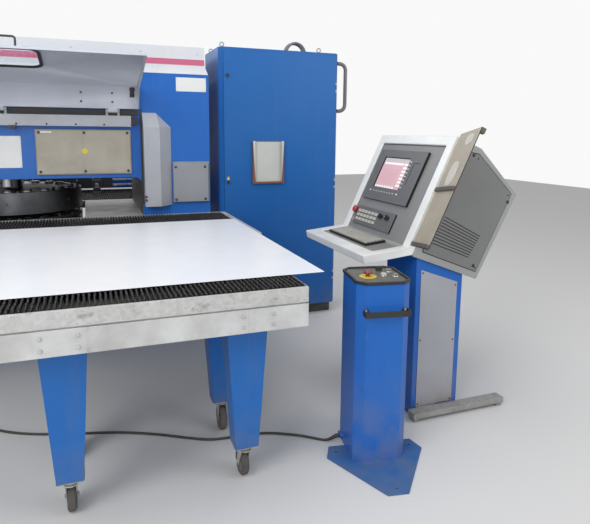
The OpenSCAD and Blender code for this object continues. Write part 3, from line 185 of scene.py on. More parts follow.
# The wear that every finish of the machine shares: patches of faded colour, chipped and rounded
# edges, scratches, dust on what faces up, grime towards the floor, and a fine grain.
worn = bpy.data.node_groups.new("worn finish", "ShaderNodeTree")
for label, value in (
    ("Colour", (0.5, 0.5, 0.5, 1)), ("Faded", (0.6, 0.6, 0.6, 1)), ("Under", (0.3, 0.31, 0.32, 1)),
    ("Dirt", (0.1, 0.09, 0.08, 1)), ("Patch Scale", 3.0), ("Mottle", 0.5), ("Edge Radius", 0.002),
    ("Wear", 0.3), ("Scratch", 0.2), ("Dust", 0.2), ("Grime", 0.3), ("Grime Top", 0.4),
    ("Rough", 0.4), ("Grain", 0.00005), ("Grain Scale", 500.0),
):
    kind = "NodeSocketColor" if isinstance(value, tuple) else "NodeSocketFloat"
    worn.interface.new_socket(label, in_out="INPUT", socket_type=kind).default_value = value
for label, kind in (("Colour", "Color"), ("Roughness", "Float"), ("Bare", "Float"), ("Normal", "Vector")):
    worn.interface.new_socket(label, in_out="OUTPUT", socket_type="NodeSocket" + kind)
given = worn.nodes.new("NodeGroupInput").outputs
at = worn.nodes.new("ShaderNodeTexCoord").outputs["Object"]
facing = worn.nodes.new("ShaderNodeNewGeometry").outputs["Normal"]
eased = step(worn, "ShaderNodeBevel", {"Radius": given["Edge Radius"]}, samples=4).outputs[0]
bend = step(worn, "ShaderNodeVectorMath", {0: eased, 1: facing}, operation="DOT_PRODUCT").outputs["Value"]
edge = ramp(worn, sums(worn, "SUBTRACT", 1.0, bend), 0.02, 0.12)
flakes = noise(worn, at, 48.0, 6.0, 0.7)
threshold = sums(worn, "SUBTRACT", 1.0, given["Wear"])
chips = sums(worn, "MULTIPLY", edge, ramp(worn, sums(worn, "SUBTRACT", flakes, threshold), 0.0, 0.05))
specks = ramp(worn, noise(worn, at, 31.0, 7.0, 0.75), 0.71, 0.74)
bare = sums(worn, "MAXIMUM", chips, sums(worn, "MULTIPLY", specks, given["Wear"]))
level_marks = ramp(worn, noise(worn, stretched(worn, at, (5, 5, 150)), 1.0, 3.0), 0.64, 0.68)
plumb_marks = ramp(worn, noise(worn, stretched(worn, at, (130, 130, 6)), 1.0, 3.0), 0.65, 0.69)
rubbed = ramp(worn, noise(worn, at, 2.7, 3.0), 0.42, 0.62)
marks = sums(worn, "MULTIPLY", sums(worn, "MAXIMUM", level_marks, plumb_marks), rubbed)
marks = sums(worn, "MULTIPLY", marks, given["Scratch"])
apart = step(worn, "ShaderNodeSeparateXYZ", {0: facing}).outputs
height = step(worn, "ShaderNodeSeparateXYZ", {0: at}).outputs["Z"]
settled = ramp(worn, noise(worn, at, 7.0, 6.0), 0.25, 0.75)
dust = sums(worn, "MULTIPLY", ramp(worn, apart["Z"], 0.5, 0.95), settled)
dust = sums(worn, "MULTIPLY", dust, given["Dust"])
low = sums(worn, "SUBTRACT", 1.0, sums(worn, "DIVIDE", height, given["Grime Top"]))
splashed = ramp(worn, noise(worn, at, 6.0, 7.0), 0.3, 0.7)
low = sums(worn, "MULTIPLY", sums(worn, "MAXIMUM", low, 0.0), splashed)
runs = ramp(worn, noise(worn, stretched(worn, at, (17, 17, 1.6)), 1.0, 5.0), 0.55, 0.8)
grime = sums(worn, "MULTIPLY_ADD", runs, 0.3, sums(worn, "MULTIPLY", low, 1.4))
grime = sums(worn, "MULTIPLY", grime, given["Grime"])
soiled = sums(worn, "MINIMUM", sums(worn, "ADD", dust, grime), 0.9)
patches = noise(worn, at, given["Patch Scale"], 5.0)
mottle = sums(worn, "MULTIPLY", ramp(worn, patches, 0.3, 0.7), given["Mottle"])
tone = mixed(worn, mottle, given["Colour"], given["Faded"])
tone = mixed(worn, sums(worn, "MULTIPLY", marks, 0.7), tone, given["Faded"])
tone = mixed(worn, soiled, tone, given["Dirt"])
tone = mixed(worn, bare, tone, given["Under"])
gloss = sums(worn, "MULTIPLY_ADD", sums(worn, "SUBTRACT", patches, 0.5), 0.25, given["Rough"])
gloss = sums(worn, "MULTIPLY_ADD", sums(worn, "ADD", soiled, marks), 0.25, gloss)
grain = noise(worn, at, given["Grain Scale"], 2.0)
relief = sums(worn, "MULTIPLY_ADD", bare, -2.0, grain)
wires = {"Strength": 1.0, "Distance": given["Grain"], "Height": relief, "Normal": eased}
skin = step(worn, "ShaderNodeBump", wires).outputs[0]
step(worn, "NodeGroupOutput", {"Colour": tone, "Roughness": gloss, "Bare": bare, "Normal": skin})


def plain_material(name, slot):
    made = bpy.data.materials.new(name)
    made["slot"] = slot
    made.use_nodes = True
    return made, made.node_tree, made.node_tree.nodes["Principled BSDF"]


def finish(name, slot, colour, faded, rough, metal=0.0, coat=0.0, **amounts):
    """A material with the machine's wear. Amounts name the group's inputs, with _ for a space."""
    made, tree, shader = plain_material(name, slot)
    wires = {"Colour": (*colour, 1), "Faded": (*faded, 1), "Rough": rough}
    for key, value in amounts.items():
        wires[key.replace("_", " ")] = (*value, 1) if isinstance(value, tuple) else value
    out = step(tree, "ShaderNodeGroup", {}, node_tree=worn)
    for key, value in wires.items():
        out.inputs[key].default_value = value
    for socket, source in (("Base Color", "Colour"), ("Roughness", "Roughness"), ("Normal", "Normal")):
        tree.links.new(out.outputs[source], shader.inputs[socket])
    shader.inputs["Metallic"].default_value = metal
    if not metal and amounts.get("Wear", 0.3) > 0.2:
        tree.links.new(out.outputs["Bare"], shader.inputs["Metallic"])
    shader.inputs["Coat Weight"].default_value = coat
    shader.inputs["Coat Roughness"].default_value = 0.12
    if slot == "blue_paint":
        shader.inputs["Specular IOR Level"].default_value = 0.25
    return made


black_rubber = finish("black rubber", "black_rubber", (0.014, 0.014, 0.015), (0.028, 0.028, 0.029), 0.55,
                      Wear=0.0, Scratch=0.4, Dust=0.35, Grime=0.2, Grime_Top=0.1, Grain=0.00008,
                      Grain_Scale=900.0)
cable_route = smooth_route(cable_points, 6)
floor_cable = keep("floor_cable_jacket", tube_mesh("floor_cable_jacket", cable_route, cable_r), "machine",
                   black_rubber)
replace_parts(floor_cable, "floor_cable")
for label, run in (("pedestal_relief", cable_route[:16]), ("frame_relief", cable_route[:-13:-1])):
    gone = [0.0]
    for a, b in zip(run, run[1:]):
        gone.append(gone[-1] + (b - a).length)
    ribs = [cable_r + 0.0009 + 0.0046 * (1 - g / gone[-1]) - (0.0011 if i % 2 else 0.0)
            for i, g in enumerate(gone)]
    keep(label, tube_mesh(label, run, ribs), "machine", black_rubber, smooth=60)

# Press frame: a box of 50 mm plate, welded and painted blue, with the throat through it. The throat's
# lining is painted black as the throat's shade, and a rubber gland takes in the floor cable.
front = -0.5
throat_x, throat_low, throat_high = 0.885, 0.730, 1.180


def soft_copy(name, source, width, body, finishes, sort=None, angle=30, segments=2):
    """Copies a CAD piece, merges the loose triangles and breaks the edges.

    sort gives the number of a face's finish from its middle and its normal."""
    shell = bmesh.new()
    shell.from_mesh(nodes[source].data)
    bmesh.ops.remove_doubles(shell, verts=shell.verts, dist=0.00001)
    shell.normal_update()
    if sort:
        for face in shell.faces:
            face.material_index = sort(face.calc_center_median(), face.normal)
    made = keep(name, poured(shell, name), body, finishes)
    if width:
        ease(made, width, segments, angle)
    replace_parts(made, source)


def ease(piece, width, segments=2, angle=30):
    """Breaks a piece's edges with a small round, as a file or a press brake does. Its flats stay flat."""
    for polygon in piece.data.polygons:
        polygon.use_smooth = True
    for line in piece.data.edges:
        line.use_edge_sharp = False
    made = piece.modifiers.new("eased edges", "BEVEL")
    made.width = width
    made.segments = segments
    made.limit_method = "ANGLE"
    made.angle_limit = math.radians(angle)
    made.miter_outer = "MITER_ARC"
    level = piece.modifiers.new("flat faces", "WEIGHTED_NORMAL")
    level.weight = 100
    bpy.context.view_layer.update()
    piece.data = bpy.data.meshes.new_from_object(piece.evaluated_get(bpy.context.evaluated_depsgraph_get()))
    piece.modifiers.clear()


def block(mesh, low, high):
    """Adds a box between two corners to a bmesh."""
    corners = [mesh.verts.new((x, y, z)) for x in (low[0], high[0]) for y in (low[1], high[1])
               for z in (low[2], high[2])]
    for quad in ((0, 1, 3, 2), (4, 6, 7, 5), (0, 4, 5, 1), (2, 3, 7, 6), (0, 2, 6, 4), (1, 5, 7, 3)):
        mesh.faces.new([corners[i] for i in quad])


def slabs(name, boxes, width, body, finishes, place=None, segments=2):
    """Folded or cut plates: boxes in metres with eased edges, as one piece."""
    shell = bmesh.new()
    for low, high in boxes:
        block(shell, low, high)
    mesh = poured(shell, name)
    if place:
        mesh.transform(place)
    made = keep(name, mesh, body, finishes)
    if width:
        ease(made, width, segments)
    return made


steel_bare = (0.36, 0.37, 0.38)
primer = (0.20, 0.20, 0.21)
shop_dust = (0.20, 0.185, 0.165)
blue_paint = finish("blue paint", "blue_paint", (0.012, 0.110, 0.430), (0.018, 0.128, 0.455), 0.42,
                    coat=0.08, Under=steel_bare, Dirt=shop_dust, Patch_Scale=1.3, Mottle=0.7,
                    Edge_Radius=0.003, Wear=0.42, Scratch=0.35, Dust=0.12, Grime=0.32, Grime_Top=0.5,
                    Grain=0.00006, Grain_Scale=420.0)
# The throat's lining is coloured near black: painted shade for the dark throat, with scratches and dust on
# it.
throat_shade_black = finish("lining painted as shade", "dark_steel", (0.010, 0.011, 0.012), (0.022, 0.023, 0.024), 0.5,
                      Patch_Scale=5.0, Mottle=0.8, Wear=0.2, Scratch=0.5, Dust=0.12, Grime=0.2,
                      Grain=0.0001)


def frame_face(middle, normal):
    """The gland is black rubber and the throat's lining is painted black as shade; everything else on the
    frame is blue.
    """
    if middle.y < front - 0.0005:
        return 2
    inside = abs(middle.x) < throat_x + 0.001 and throat_low - 0.001 < middle.z < throat_high + 0.001
    return 1 if inside and abs(middle.y) < 0.499 else 0


soft_copy("press_frame", "main_frame", 0.003, "machine", [blue_paint, throat_shade_black, black_rubber],
          frame_face)
# Black rubber seals beside the throat, and a black strip along the beam's top that is painted shade for the
# gap under the hood.
slabs("throat_seals", [((x * 0.888 - 0.007, front - 0.007, 0.985), (x * 0.888 + 0.007, front, 1.655))
                       for x in (-1, 1)]
      + [((-0.872, front - 0.006, 1.610), (0.872, front, 1.652))], 0.002, "machine", black_rubber)

# Screws and what else repeats: one tree sets a turned part on points and gives it the finish. The
# points carry their own turn and size, and each part may be turned a little against the next.
setter = bpy.data.node_groups.new("set on points", "GeometryNodeTree")
given = sockets(setter, ("Geometry Geometry", "Part Object", "Turn Jitter Float", "Seed Int",
                         "Finish Material"), ("Geometry Geometry",))
part = step(setter, "GeometryNodeObjectInfo", {"Object": given["Part"]}).outputs["Geometry"]
turn = step(setter, "GeometryNodeInputNamedAttribute", {"Name": "turn"},
            data_type="FLOAT_VECTOR").outputs[0]
size = step(setter, "GeometryNodeInputNamedAttribute", {"Name": "size"},
            data_type="FLOAT_VECTOR").outputs[0]
spin = sums(setter, "MULTIPLY", given["Turn Jitter"], -1.0)
chance = step(setter, "FunctionNodeRandomValue", {2: spin, 3: given["Turn Jitter"], 8: given["Seed"]},
              data_type="FLOAT").outputs[1]
own = step(setter, "ShaderNodeCombineXYZ", {"Z": chance}).outputs[0]
facing_turn = step(setter, "FunctionNodeEulerToRotation", {0: turn}).outputs[0]
own_turn = step(setter, "FunctionNodeEulerToRotation", {0: own}).outputs[0]
both = step(setter, "FunctionNodeRotateRotation", {0: facing_turn, 1: own_turn},
            rotation_space="LOCAL").outputs[0]
wires = {"Points": given["Geometry"], "Instance": part, "Rotation": both, "Scale": size}
many = step(setter, "GeometryNodeInstanceOnPoints", wires).outputs[0]
plain = step(setter, "GeometryNodeRealizeInstances", {0: many}).outputs[0]
faced = step(setter, "GeometryNodeSetMaterial", {"Geometry": plain, "Material": given["Finish"]}).outputs[0]
step(setter, "NodeGroupOutput", {0: faced})


def turned_part(rings, sides=16, hexagon=0.0, hex_depth=0.0):
    """A lathe-turned part standing on the XY plane: rings are (radius, height) from foot to top.

    A hexagon of that radius is sunk into its top where one is asked for."""
    shell = bmesh.new()
    loops = []
    for radius, z in rings:
        loops.append([shell.verts.new((radius * math.cos(2 * math.pi * k / sides),
                                       radius * math.sin(2 * math.pi * k / sides), z))
                      for k in range(sides)])
    if hexagon:
        for z in (rings[-1][1], rings[-1][1] - hex_depth):
            loops.append([shell.verts.new((hexagon * math.cos(turn), hexagon * math.sin(turn), z))
                          for turn in (math.pi / 3 * (k * 6 // sides) for k in range(sides))])
    for lower, upper in zip(loops, loops[1:]):
        for k in range(sides):
            shell.faces.new((lower[k], lower[(k + 1) % sides], upper[(k + 1) % sides], upper[k]))
    shell.faces.new(list(reversed(loops[0])))
    shell.faces.new(loops[-1])
    bmesh.ops.remove_doubles(shell, verts=shell.verts, dist=0.000001)
    return poured(shell, "turned part")


def grown_mesh(name, points, tree, values):
    """Runs a tree on a mesh of points with these inputs and gives the plain mesh that comes out."""
    carrier = bpy.data.objects.new(name, points)
    scene.collection.objects.link(carrier)
    made = carrier.modifiers.new("grown", "NODES")
    made.node_group = tree
    for socket in tree.interface.items_tree:
        if socket.in_out == "INPUT" and socket.name in values:
            made[socket.identifier] = values[socket.name]
    bpy.context.view_layer.update()
    mesh = bpy.data.meshes.new_from_object(carrier.evaluated_get(bpy.context.evaluated_depsgraph_get()))
    bpy.data.objects.remove(carrier)
    mesh.name = name
    return mesh


def set_parts(name, part_mesh, places, body, finishes, smooth=32, turn_jitter=0.0):
    """Sets a part on places: (point, turn) or (point, turn, size), in metres and radians."""
    spots = bpy.data.meshes.new(name)
    spots.from_pydata([p[0] for p in places], [], [])
    sizes = [p[2] if len(p) > 2 else (1, 1, 1) for p in places]
    for label, values in (("turn", [p[1] for p in places]), ("size", sizes)):
        held = spots.attributes.new(label, "FLOAT_VECTOR", "POINT")
        held.data.foreach_set("vector", [v for one in values for v in one])
    part_object = bpy.data.objects.new("part", part_mesh)
    scene.collection.objects.link(part_object)
    values = {"Part": part_object, "Turn Jitter": turn_jitter, "Seed": 1, "Finish": finishes}
    mesh = grown_mesh(name, spots, setter, values)
    bpy.data.objects.remove(part_object)
    for attribute in [a for a in mesh.attributes if a.name in ("turn", "size")]:
        mesh.attributes.remove(attribute)
    return keep(name, mesh, body, finishes, smooth)


def socket_screw(radius, tall):
    """A socket head on its washer."""
    rings = [(radius * 1.45, 0.0), (radius * 1.45, 0.0012), (radius, 0.0013), (radius, tall - 0.0008),
             (radius * 0.88, tall)]
    return turned_part(rings, 12, radius * 0.5, tall * 0.5)


to_front, to_rear = (math.pi / 2, 0, 0), (-math.pi / 2, 0, 0)
dark_steel = finish("black oxide steel", "dark_steel", (0.030, 0.031, 0.033), (0.060, 0.061, 0.063), 0.42,
                    Under=steel_bare, Scratch=0.5, Grime=0.2, Grain=0.00004)
steel = finish("turned steel", "steel", (0.42, 0.43, 0.45), (0.33, 0.34, 0.36), 0.34, metal=1.0, Wear=0.0,
               Scratch=0.6, Dust=0.15, Grime=0.25, Grain=0.00003, Grain_Scale=700.0)

# Frame details: bolted inspection lids on the sides and the back, where the drives are reached, with
# their screws. Each is a plain blue plate.
frame_side, frame_rear, lid_thick, screw_inset = 1.375, 0.5, 0.003, 0.02
side_lids = []
for side in (-1, 1):
    inner, outer = sorted((frame_side * side, frame_side * side + lid_thick * side))
    side_lids += [((inner, y0, z0), (outer, y1, z1)) for y0, y1, z0, z1 in (
        (-0.40, 0.0, 0.30, 0.62), (0.05, 0.40, 0.30, 0.62), (-0.36, 0.36, 1.30, 1.78))]
rear_lids = [((x0, frame_rear, z0), (x1, frame_rear + lid_thick, z1)) for x0, x1, z0, z1 in (
    (-1.28, -0.96, 1.02, 1.80), (0.96, 1.28, 1.02, 1.80), (-0.80, -0.05, 1.28, 1.80),
    (0.05, 0.80, 1.28, 1.80), (-1.28, -0.92, 0.12, 0.60), (0.92, 1.28, 0.12, 0.60),
    (-0.80, 0.80, 0.12, 0.60))]
slabs("inspection_lids", side_lids + rear_lids, 0.001, "machine", blue_paint)
spots = []
for low, high in side_lids:
    x, turn = (high[0], math.pi / 2) if low[0] > 0 else (low[0], -math.pi / 2)
    spots += [((x, y, z), (0, turn, 0)) for y in (low[1] + screw_inset, high[1] - screw_inset)
              for z in (low[2] + screw_inset, high[2] - screw_inset)]
for low, high in rear_lids:
    spots += [((x, high[1], z), to_rear) for x in (low[0] + screw_inset, high[0] - screw_inset)
              for z in (low[2] + screw_inset, high[2] - screw_inset)]
set_parts("lid_screws", socket_screw(0.006, 0.005), spots, "machine", dark_steel, turn_jitter=3.0)

# Top cover: folded white sheet with a flared skirt that laps over the frame. A red foil stripe runs
# round it above the skirt.
within = bpy.data.node_groups.new("inside a box", "ShaderNodeTree")
given = sockets(within, ("Low Vector", "High Vector"), ("Mask Float",))
at = within.nodes.new("ShaderNodeTexCoord").outputs["Object"]
over = step(within, "ShaderNodeVectorMath", {0: at, 1: given["Low"]}, operation="SUBTRACT").outputs[0]
under = step(within, "ShaderNodeVectorMath", {0: given["High"], 1: at}, operation="SUBTRACT").outputs[0]
least = step(within, "ShaderNodeVectorMath", {0: over, 1: under}, operation="MINIMUM").outputs[0]
least = step(within, "ShaderNodeSeparateXYZ", {0: least}).outputs
least = sums(within, "MINIMUM", sums(within, "MINIMUM", least[0], least[1]), least[2])
step(within, "NodeGroupOutput", {"Mask": sums(within, "GREATER_THAN", least, 0.0)})


def tint(material, low, high, colour):
    """Colours the part of a finish that lies in a box, as foil or a sprayed band does."""
    tree = material.node_tree
    shader = tree.nodes["Principled BSDF"].inputs["Base Color"]
    mask = step(tree, "ShaderNodeGroup", {}, node_tree=within)
    mask.inputs["Low"].default_value = low
    mask.inputs["High"].default_value = high
    tree.links.new(mixed(tree, mask.outputs[0], shader.links[0].from_socket, (*colour, 1)), shader)


white_paint = finish("white paint", "white_paint", (0.62, 0.64, 0.665), (0.55, 0.565, 0.585), 0.36,
                     coat=0.15, Under=primer, Dirt=(0.24, 0.225, 0.20), Patch_Scale=2.0, Mottle=0.6,
                     Wear=0.35, Scratch=0.3, Dust=0.35, Grime=0.45, Grime_Top=0.3, Grain=0.00006,
                     Grain_Scale=420.0)
cover_paint = finish("white cover paint", "white_paint", (0.61, 0.635, 0.67), (0.55, 0.57, 0.60), 0.34,
                     coat=0.2, Under=primer, Dirt=(0.24, 0.225, 0.20), Patch_Scale=1.4, Scratch=0.3,
                     Dust=0.18, Grime=0.35, Grime_Top=0.3, Grain=0.00006, Grain_Scale=420.0)
tint(cover_paint, (-1.4, -0.6, 1.9755), (1.4, 0.6, 2.017), (0.50, 0.105, 0.205))
soft_copy("cover_shell", "top_cover", 0.003, "machine", cover_paint)
set_parts("cover_rivets", turned_part([(0.007, 0), (0.0065, 0.0016), (0.004, 0.0028)], 10),
          [((x, -0.484, 2.06), to_front) for x in (-1.3, -0.9, -0.45, 0.0, 0.45, 0.9, 1.3)], "machine",
          white_paint)

# Hinge beam: a light folded channel over the throat with the eyes and pins that carry the hood, and a
# black bumper at each end. Small screws hold it from the front.
hood_paint = finish("grey hood paint", "grey_paint", (0.54, 0.57, 0.65), (0.45, 0.48, 0.55), 0.42, coat=0.1,
                    Under=(0.11, 0.10, 0.10), Dirt=(0.16, 0.155, 0.15), Patch_Scale=2.2, Mottle=0.8,
                    Edge_Radius=0.004, Wear=0.45, Scratch=0.35, Dust=0.3, Grime=0.4, Grain=0.00008,
                    Grain_Scale=380.0)
beam_paint = finish("light beam paint", "grey_paint", (0.405, 0.422, 0.458), (0.33, 0.345, 0.375), 0.4,
                    Under=(0.12, 0.12, 0.12), Dirt=(0.14, 0.13, 0.12), Patch_Scale=4.0, Mottle=0.8,
                    Wear=0.4, Scratch=0.5, Dust=0.4, Grime=0.5)
soft_copy("beam_channel", "hinge_beam", 0.0015, "machine", [beam_paint, black_rubber],
          lambda middle, normal: 1 if abs(middle.x) > 0.8185 else 0)
set_parts("beam_screws", socket_screw(0.0045, 0.004), [((0.1 + 0.18 * i, -0.552, 1.546), to_front)
                                                       for i in range(-5, 5)],
          "machine", dark_steel, turn_jitter=3.0)
slabs("hood_catches", [((x - 0.020, -0.566, 1.512), (x + 0.020, -0.530, 1.536)) for x in (-0.52, 0.075)]
      + [((x - 0.006, -0.574, 1.518), (x + 0.006, -0.560, 1.530)) for x in (-0.52, 0.075)], 0.002,
      "machine", dark_steel)

# Hood: 3 mm sheet folded into a back panel and a visor, hinged on the beam and drawn open. The rims are
# chipped from years of closing, the dark stays at its ends stop it.
fold = Vector((0, -0.528, 1.805))
tilt = math.radians(13)
on_visor = Matrix.Translation(fold) @ Matrix.Rotation(-tilt, 4, "X")


def hood_face(middle, normal):
    """The stays at the ends of the back panel are black."""
    return 1 if 0.812 < abs(middle.x) < 0.852 and -0.58 < middle.y < -0.5315 and middle.z < 1.802 else 0


soft_copy("hood_shell", "hood", 0.0, "hood_lid", [hood_paint, dark_steel], hood_face)
hem = [((x * 0.868 - 0.006, -0.648, -0.0045), (x * 0.868 + 0.006, -0.004, -0.0005)) for x in (-1, 1)]
hem.append(((-0.866, -0.6465, -0.0045), (0.866, -0.633, -0.0005)))
slabs("hood_hems", hem, 0.0015, "hood_lid", hood_paint, on_visor)
set_parts("stay_bolts", turned_part([(0.0075, 0), (0.0075, 0.004), (0.006, 0.005)], 6),
          [((x * 0.831, -0.5515, z), to_front) for x in (-1, 1) for z in (1.742, 1.760)]
          + [((x * 0.60 + dx, -0.5315, 1.70 + dz), to_front) for x in (-1, 1) for dx in (-0.1, 0.1)
             for dz in (0.0, 0.06)],
          "hood_lid", dark_steel, smooth=20)
window_rubber = finish("window rubber", "black_rubber", (0.012, 0.012, 0.013), (0.024, 0.024, 0.025), 0.5,
                       Edge_Radius=0.003, Wear=0.0, Scratch=0.3, Dust=0.3, Grime=0.1, Grain=0.00006,
                       Grain_Scale=800.0)
soft_copy("window_profile", "window_gasket", 0.0025, "hood_lid", window_rubber, segments=3)

# Window pane: a clear plastic sheet held in the rubber profile. It has a faint haze and fine
# scratches from wiping.
def dress(source, material):
    """Gives a CAD piece whose shape is right its finish."""
    nodes[source].data.materials.clear()
    nodes[source].data.materials.append(material)


clear, tree, shader = plain_material("clear plastic", "clear_pane")
shader.inputs["Base Color"].default_value = (0.90, 0.93, 0.95, 1)
shader.inputs["Transmission Weight"].default_value = 1.0
shader.inputs["IOR"].default_value = 1.15
at = tree.nodes.new("ShaderNodeTexCoord").outputs["Object"]
haze = ramp(tree, noise(tree, stretched(tree, at, (120, 6, 120)), 1.0, 3.0), 0.55, 0.75, 0.03, 0.22)
tree.links.new(haze, shader.inputs["Roughness"])
wires = {"Strength": 0.15, "Distance": 0.0002, "Height": noise(tree, at, 18.0)}
tree.links.new(step(tree, "ShaderNodeBump", wires).outputs[0], shader.inputs["Normal"])
dress("hood_window", clear)

# Hood handle: a bent 12 mm bar, coated black, on two small feet. It is screwed through the visor's
# rim.
def fillet_route(corners, radius, steps=6):
    """A route through corners in metres with a round bend of that radius at each."""
    points = [Vector(c) for c in corners]
    route = [points[0]]
    for before, point, after in zip(points, points[1:], points[2:]):
        a, b = (before - point).normalized(), (after - point).normalized()
        half = a.angle(b) / 2
        reach = radius / math.tan(half)
        start, end = point + a * reach, point + b * reach
        for k in range(steps + 1):
            t = k / steps
            route.append((1 - t) ** 2 * start + 2 * t * (1 - t) * point + t * t * end)
    return route + [points[-1]]


black_plastic = finish("black plastic", "black_plastic", (0.016, 0.016, 0.017), (0.034, 0.034, 0.035), 0.38,
                       Wear=0.0, Scratch=0.5, Dust=0.25, Grime=0.15, Grain=0.00006, Grain_Scale=1100.0)
post_x, post_y, bar_r = 0.182, -0.642, 0.006
bar = fillet_route([(-post_x, post_y, 0.003), (-post_x, post_y, 0.059), (post_x, post_y, 0.059),
                    (post_x, post_y, 0.003)], 0.018)
handle = tube_mesh("handle_bar", bar, bar_r, 20)
handle.transform(on_visor)
hood_handle = keep("handle_bar", handle, "hood_lid", black_plastic, smooth=50)
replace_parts(hood_handle, "hood_handle")
feet = [(on_visor @ Vector((x, post_y, 0.001)), (-tilt, 0, 0)) for x in (-post_x, post_x)]
set_parts("handle_feet", turned_part([(0.0078, 0), (0.0078, 0.004), (0.0062, 0.007)], 20), feet, "hood_lid",
          black_plastic)

# Junction plate: a beige lid of folded sheet on its rim, six screws, with a bare label and a plain
# yellow mark in its middle.
beige_paint = finish("beige paint", "beige_paint", (0.370, 0.346, 0.285), (0.305, 0.284, 0.235), 0.45,
                     Under=primer, Dirt=(0.12, 0.11, 0.09), Mottle=0.7, Scratch=0.4, Dust=0.3, Grime=0.6,
                     Grime_Top=1.6, Grain=0.00008)
label_white = finish("bare label", "sheet_white", (0.72, 0.73, 0.74), (0.62, 0.62, 0.61), 0.4,
                     Dirt=(0.3, 0.28, 0.24), Wear=0.0, Scratch=0.4, Grime=0.5, Grime_Top=0.1, Grain=0.00002)
yellow = finish("yellow plastic", "yellow_plastic", (0.66, 0.50, 0.035), (0.55, 0.42, 0.04), 0.42,
                Dirt=(0.15, 0.12, 0.05), Wear=0.0, Scratch=0.5, Dust=0.25, Grime=0.4, Grime_Top=0.1,
                Grain=0.00004)
junction = slabs("junction_lid", [((0.202, -0.514, 1.206), (0.814, front, 1.512)),
                                  ((0.208, -0.520, 1.212), (0.808, -0.513, 1.506))],
                 0.0025, "machine", beige_paint, segments=3)
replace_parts(junction, "junction_plate")
slabs("junction_label", [((0.235, -0.5205, 1.488), (0.305, -0.5199, 1.499))], 0, "machine", label_white)
set_parts("yellow_mark", turned_part([(0.019, 0), (0.019, 0.0008)], 28),
          [((0.508, -0.520, 1.366), to_front)], "machine", yellow)

# Column covers and access plates: folded grey guards with a sloped top and side, and bevelled lids
# beside them, all painted sheet held by screws. The bare plates of old signs are riveted on.
guard_paint = finish("guard paint", "grey_paint", (0.375, 0.392, 0.432), (0.315, 0.330, 0.365), 0.4,
                     coat=0.1, Under=primer, Dirt=(0.13, 0.125, 0.12), Patch_Scale=2.5, Mottle=0.7,
                     Wear=0.35, Scratch=0.4, Dust=0.3, Grime=0.5, Grime_Top=1.3, Grain=0.00008,
                     Grain_Scale=420.0)
soft_copy("column_guards", "column_covers", 0.0025, "machine", guard_paint, segments=3)
# The access lids have the guards' grey paint made darker: painted shade from the column covers beside them.
shaded_plate_paint = finish("shaded plate paint", "grey_paint", (0.262, 0.276, 0.302), (0.225, 0.237, 0.260), 0.42,
                     coat=0.1, Under=primer, Dirt=(0.11, 0.105, 0.10), Patch_Scale=3.5, Mottle=0.7,
                     Wear=0.35, Scratch=0.45, Dust=0.3, Grime=0.5, Grime_Top=1.3, Grain=0.00008,
                     Grain_Scale=420.0)
soft_copy("access_lids", "access_plates", 0.002, "machine", shaded_plate_paint)
spots = [((0.508 + i * 0.282, -0.520, 1.359 + j * 0.131), to_front) for i in (-1, 0, 1) for j in (-1, 1)]
for x in (-1, 1):
    spots += [((x * (1.120 + i * 0.214), -0.526, 1.011 + j * 0.238), to_front) for i in (0, 1)
              for j in (0, 1)]
    spots += [((x * 0.900, -0.5915, z), to_front) for z in (1.02, 1.045)]
spots += [((x, -2.228, z), to_front) for x, z in ((2.632, 1.142), (2.430, 0.806), (2.395, 1.395))]
screws = set_parts("panel_screws", socket_screw(0.0068, 0.0045), spots, "machine", dark_steel,
                   turn_jitter=3.0)
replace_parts(screws, "cover_screws")
soft_copy("bare_signs", "sign_plates", 0.0006, "machine", label_white)
signs = (((1.139, 1.789), (1.355, 1.887)), ((-0.120, 1.256), (0.115, 1.466)))
rivet_inset = 0.008
set_parts("sign_rivets", turned_part([(0.0035, 0), (0.0033, 0.0008), (0.002, 0.0014)], 10),
          [((x, -0.5015, z), to_front) for low, high in signs
           for x in (low[0] + rivet_inset, high[0] - rivet_inset)
           for z in (low[1] + rivet_inset, high[1] - rivet_inset)],
          "machine", steel)

# Turrets: two forged steel discs, bored for twenty tools, that turn together on their spindles. Every
# station has a guide collar and a low punch head in the upper disc, and a die ring in the lower one.
# The discs' oiled steel is coloured dark: painted shade of the throat in which they turn.
throat_shaded_steel = finish("tool steel darkened as shade", "dark_steel", (0.115, 0.118, 0.125), (0.070, 0.072, 0.078), 0.38,
                    metal=1.0, Dirt=(0.03, 0.025, 0.02), Patch_Scale=9.0, Mottle=0.9, Wear=0.0, Scratch=0.8,
                    Dust=0.5, Grime=0.8, Grain_Scale=600.0)
dress("upper_turret", throat_shaded_steel)
dress("lower_turret", throat_shaded_steel)
tools, station_r, screw_ring_r, disc_r = 20, 0.380, 0.447, 0.470
upper_top, upper_step, rim_middle, lower_top, die_depth = 1.098, 0.014, 1.009, 0.899, 0.030
stations = [2 * math.pi * (k / tools - 0.25) for k in range(tools)]
between = [turn + math.pi / tools for turn in stations]


def round_disc(radius, turns, z):
    return [((radius * math.cos(turn), radius * math.sin(turn), z), (0, 0, turn)) for turn in turns]


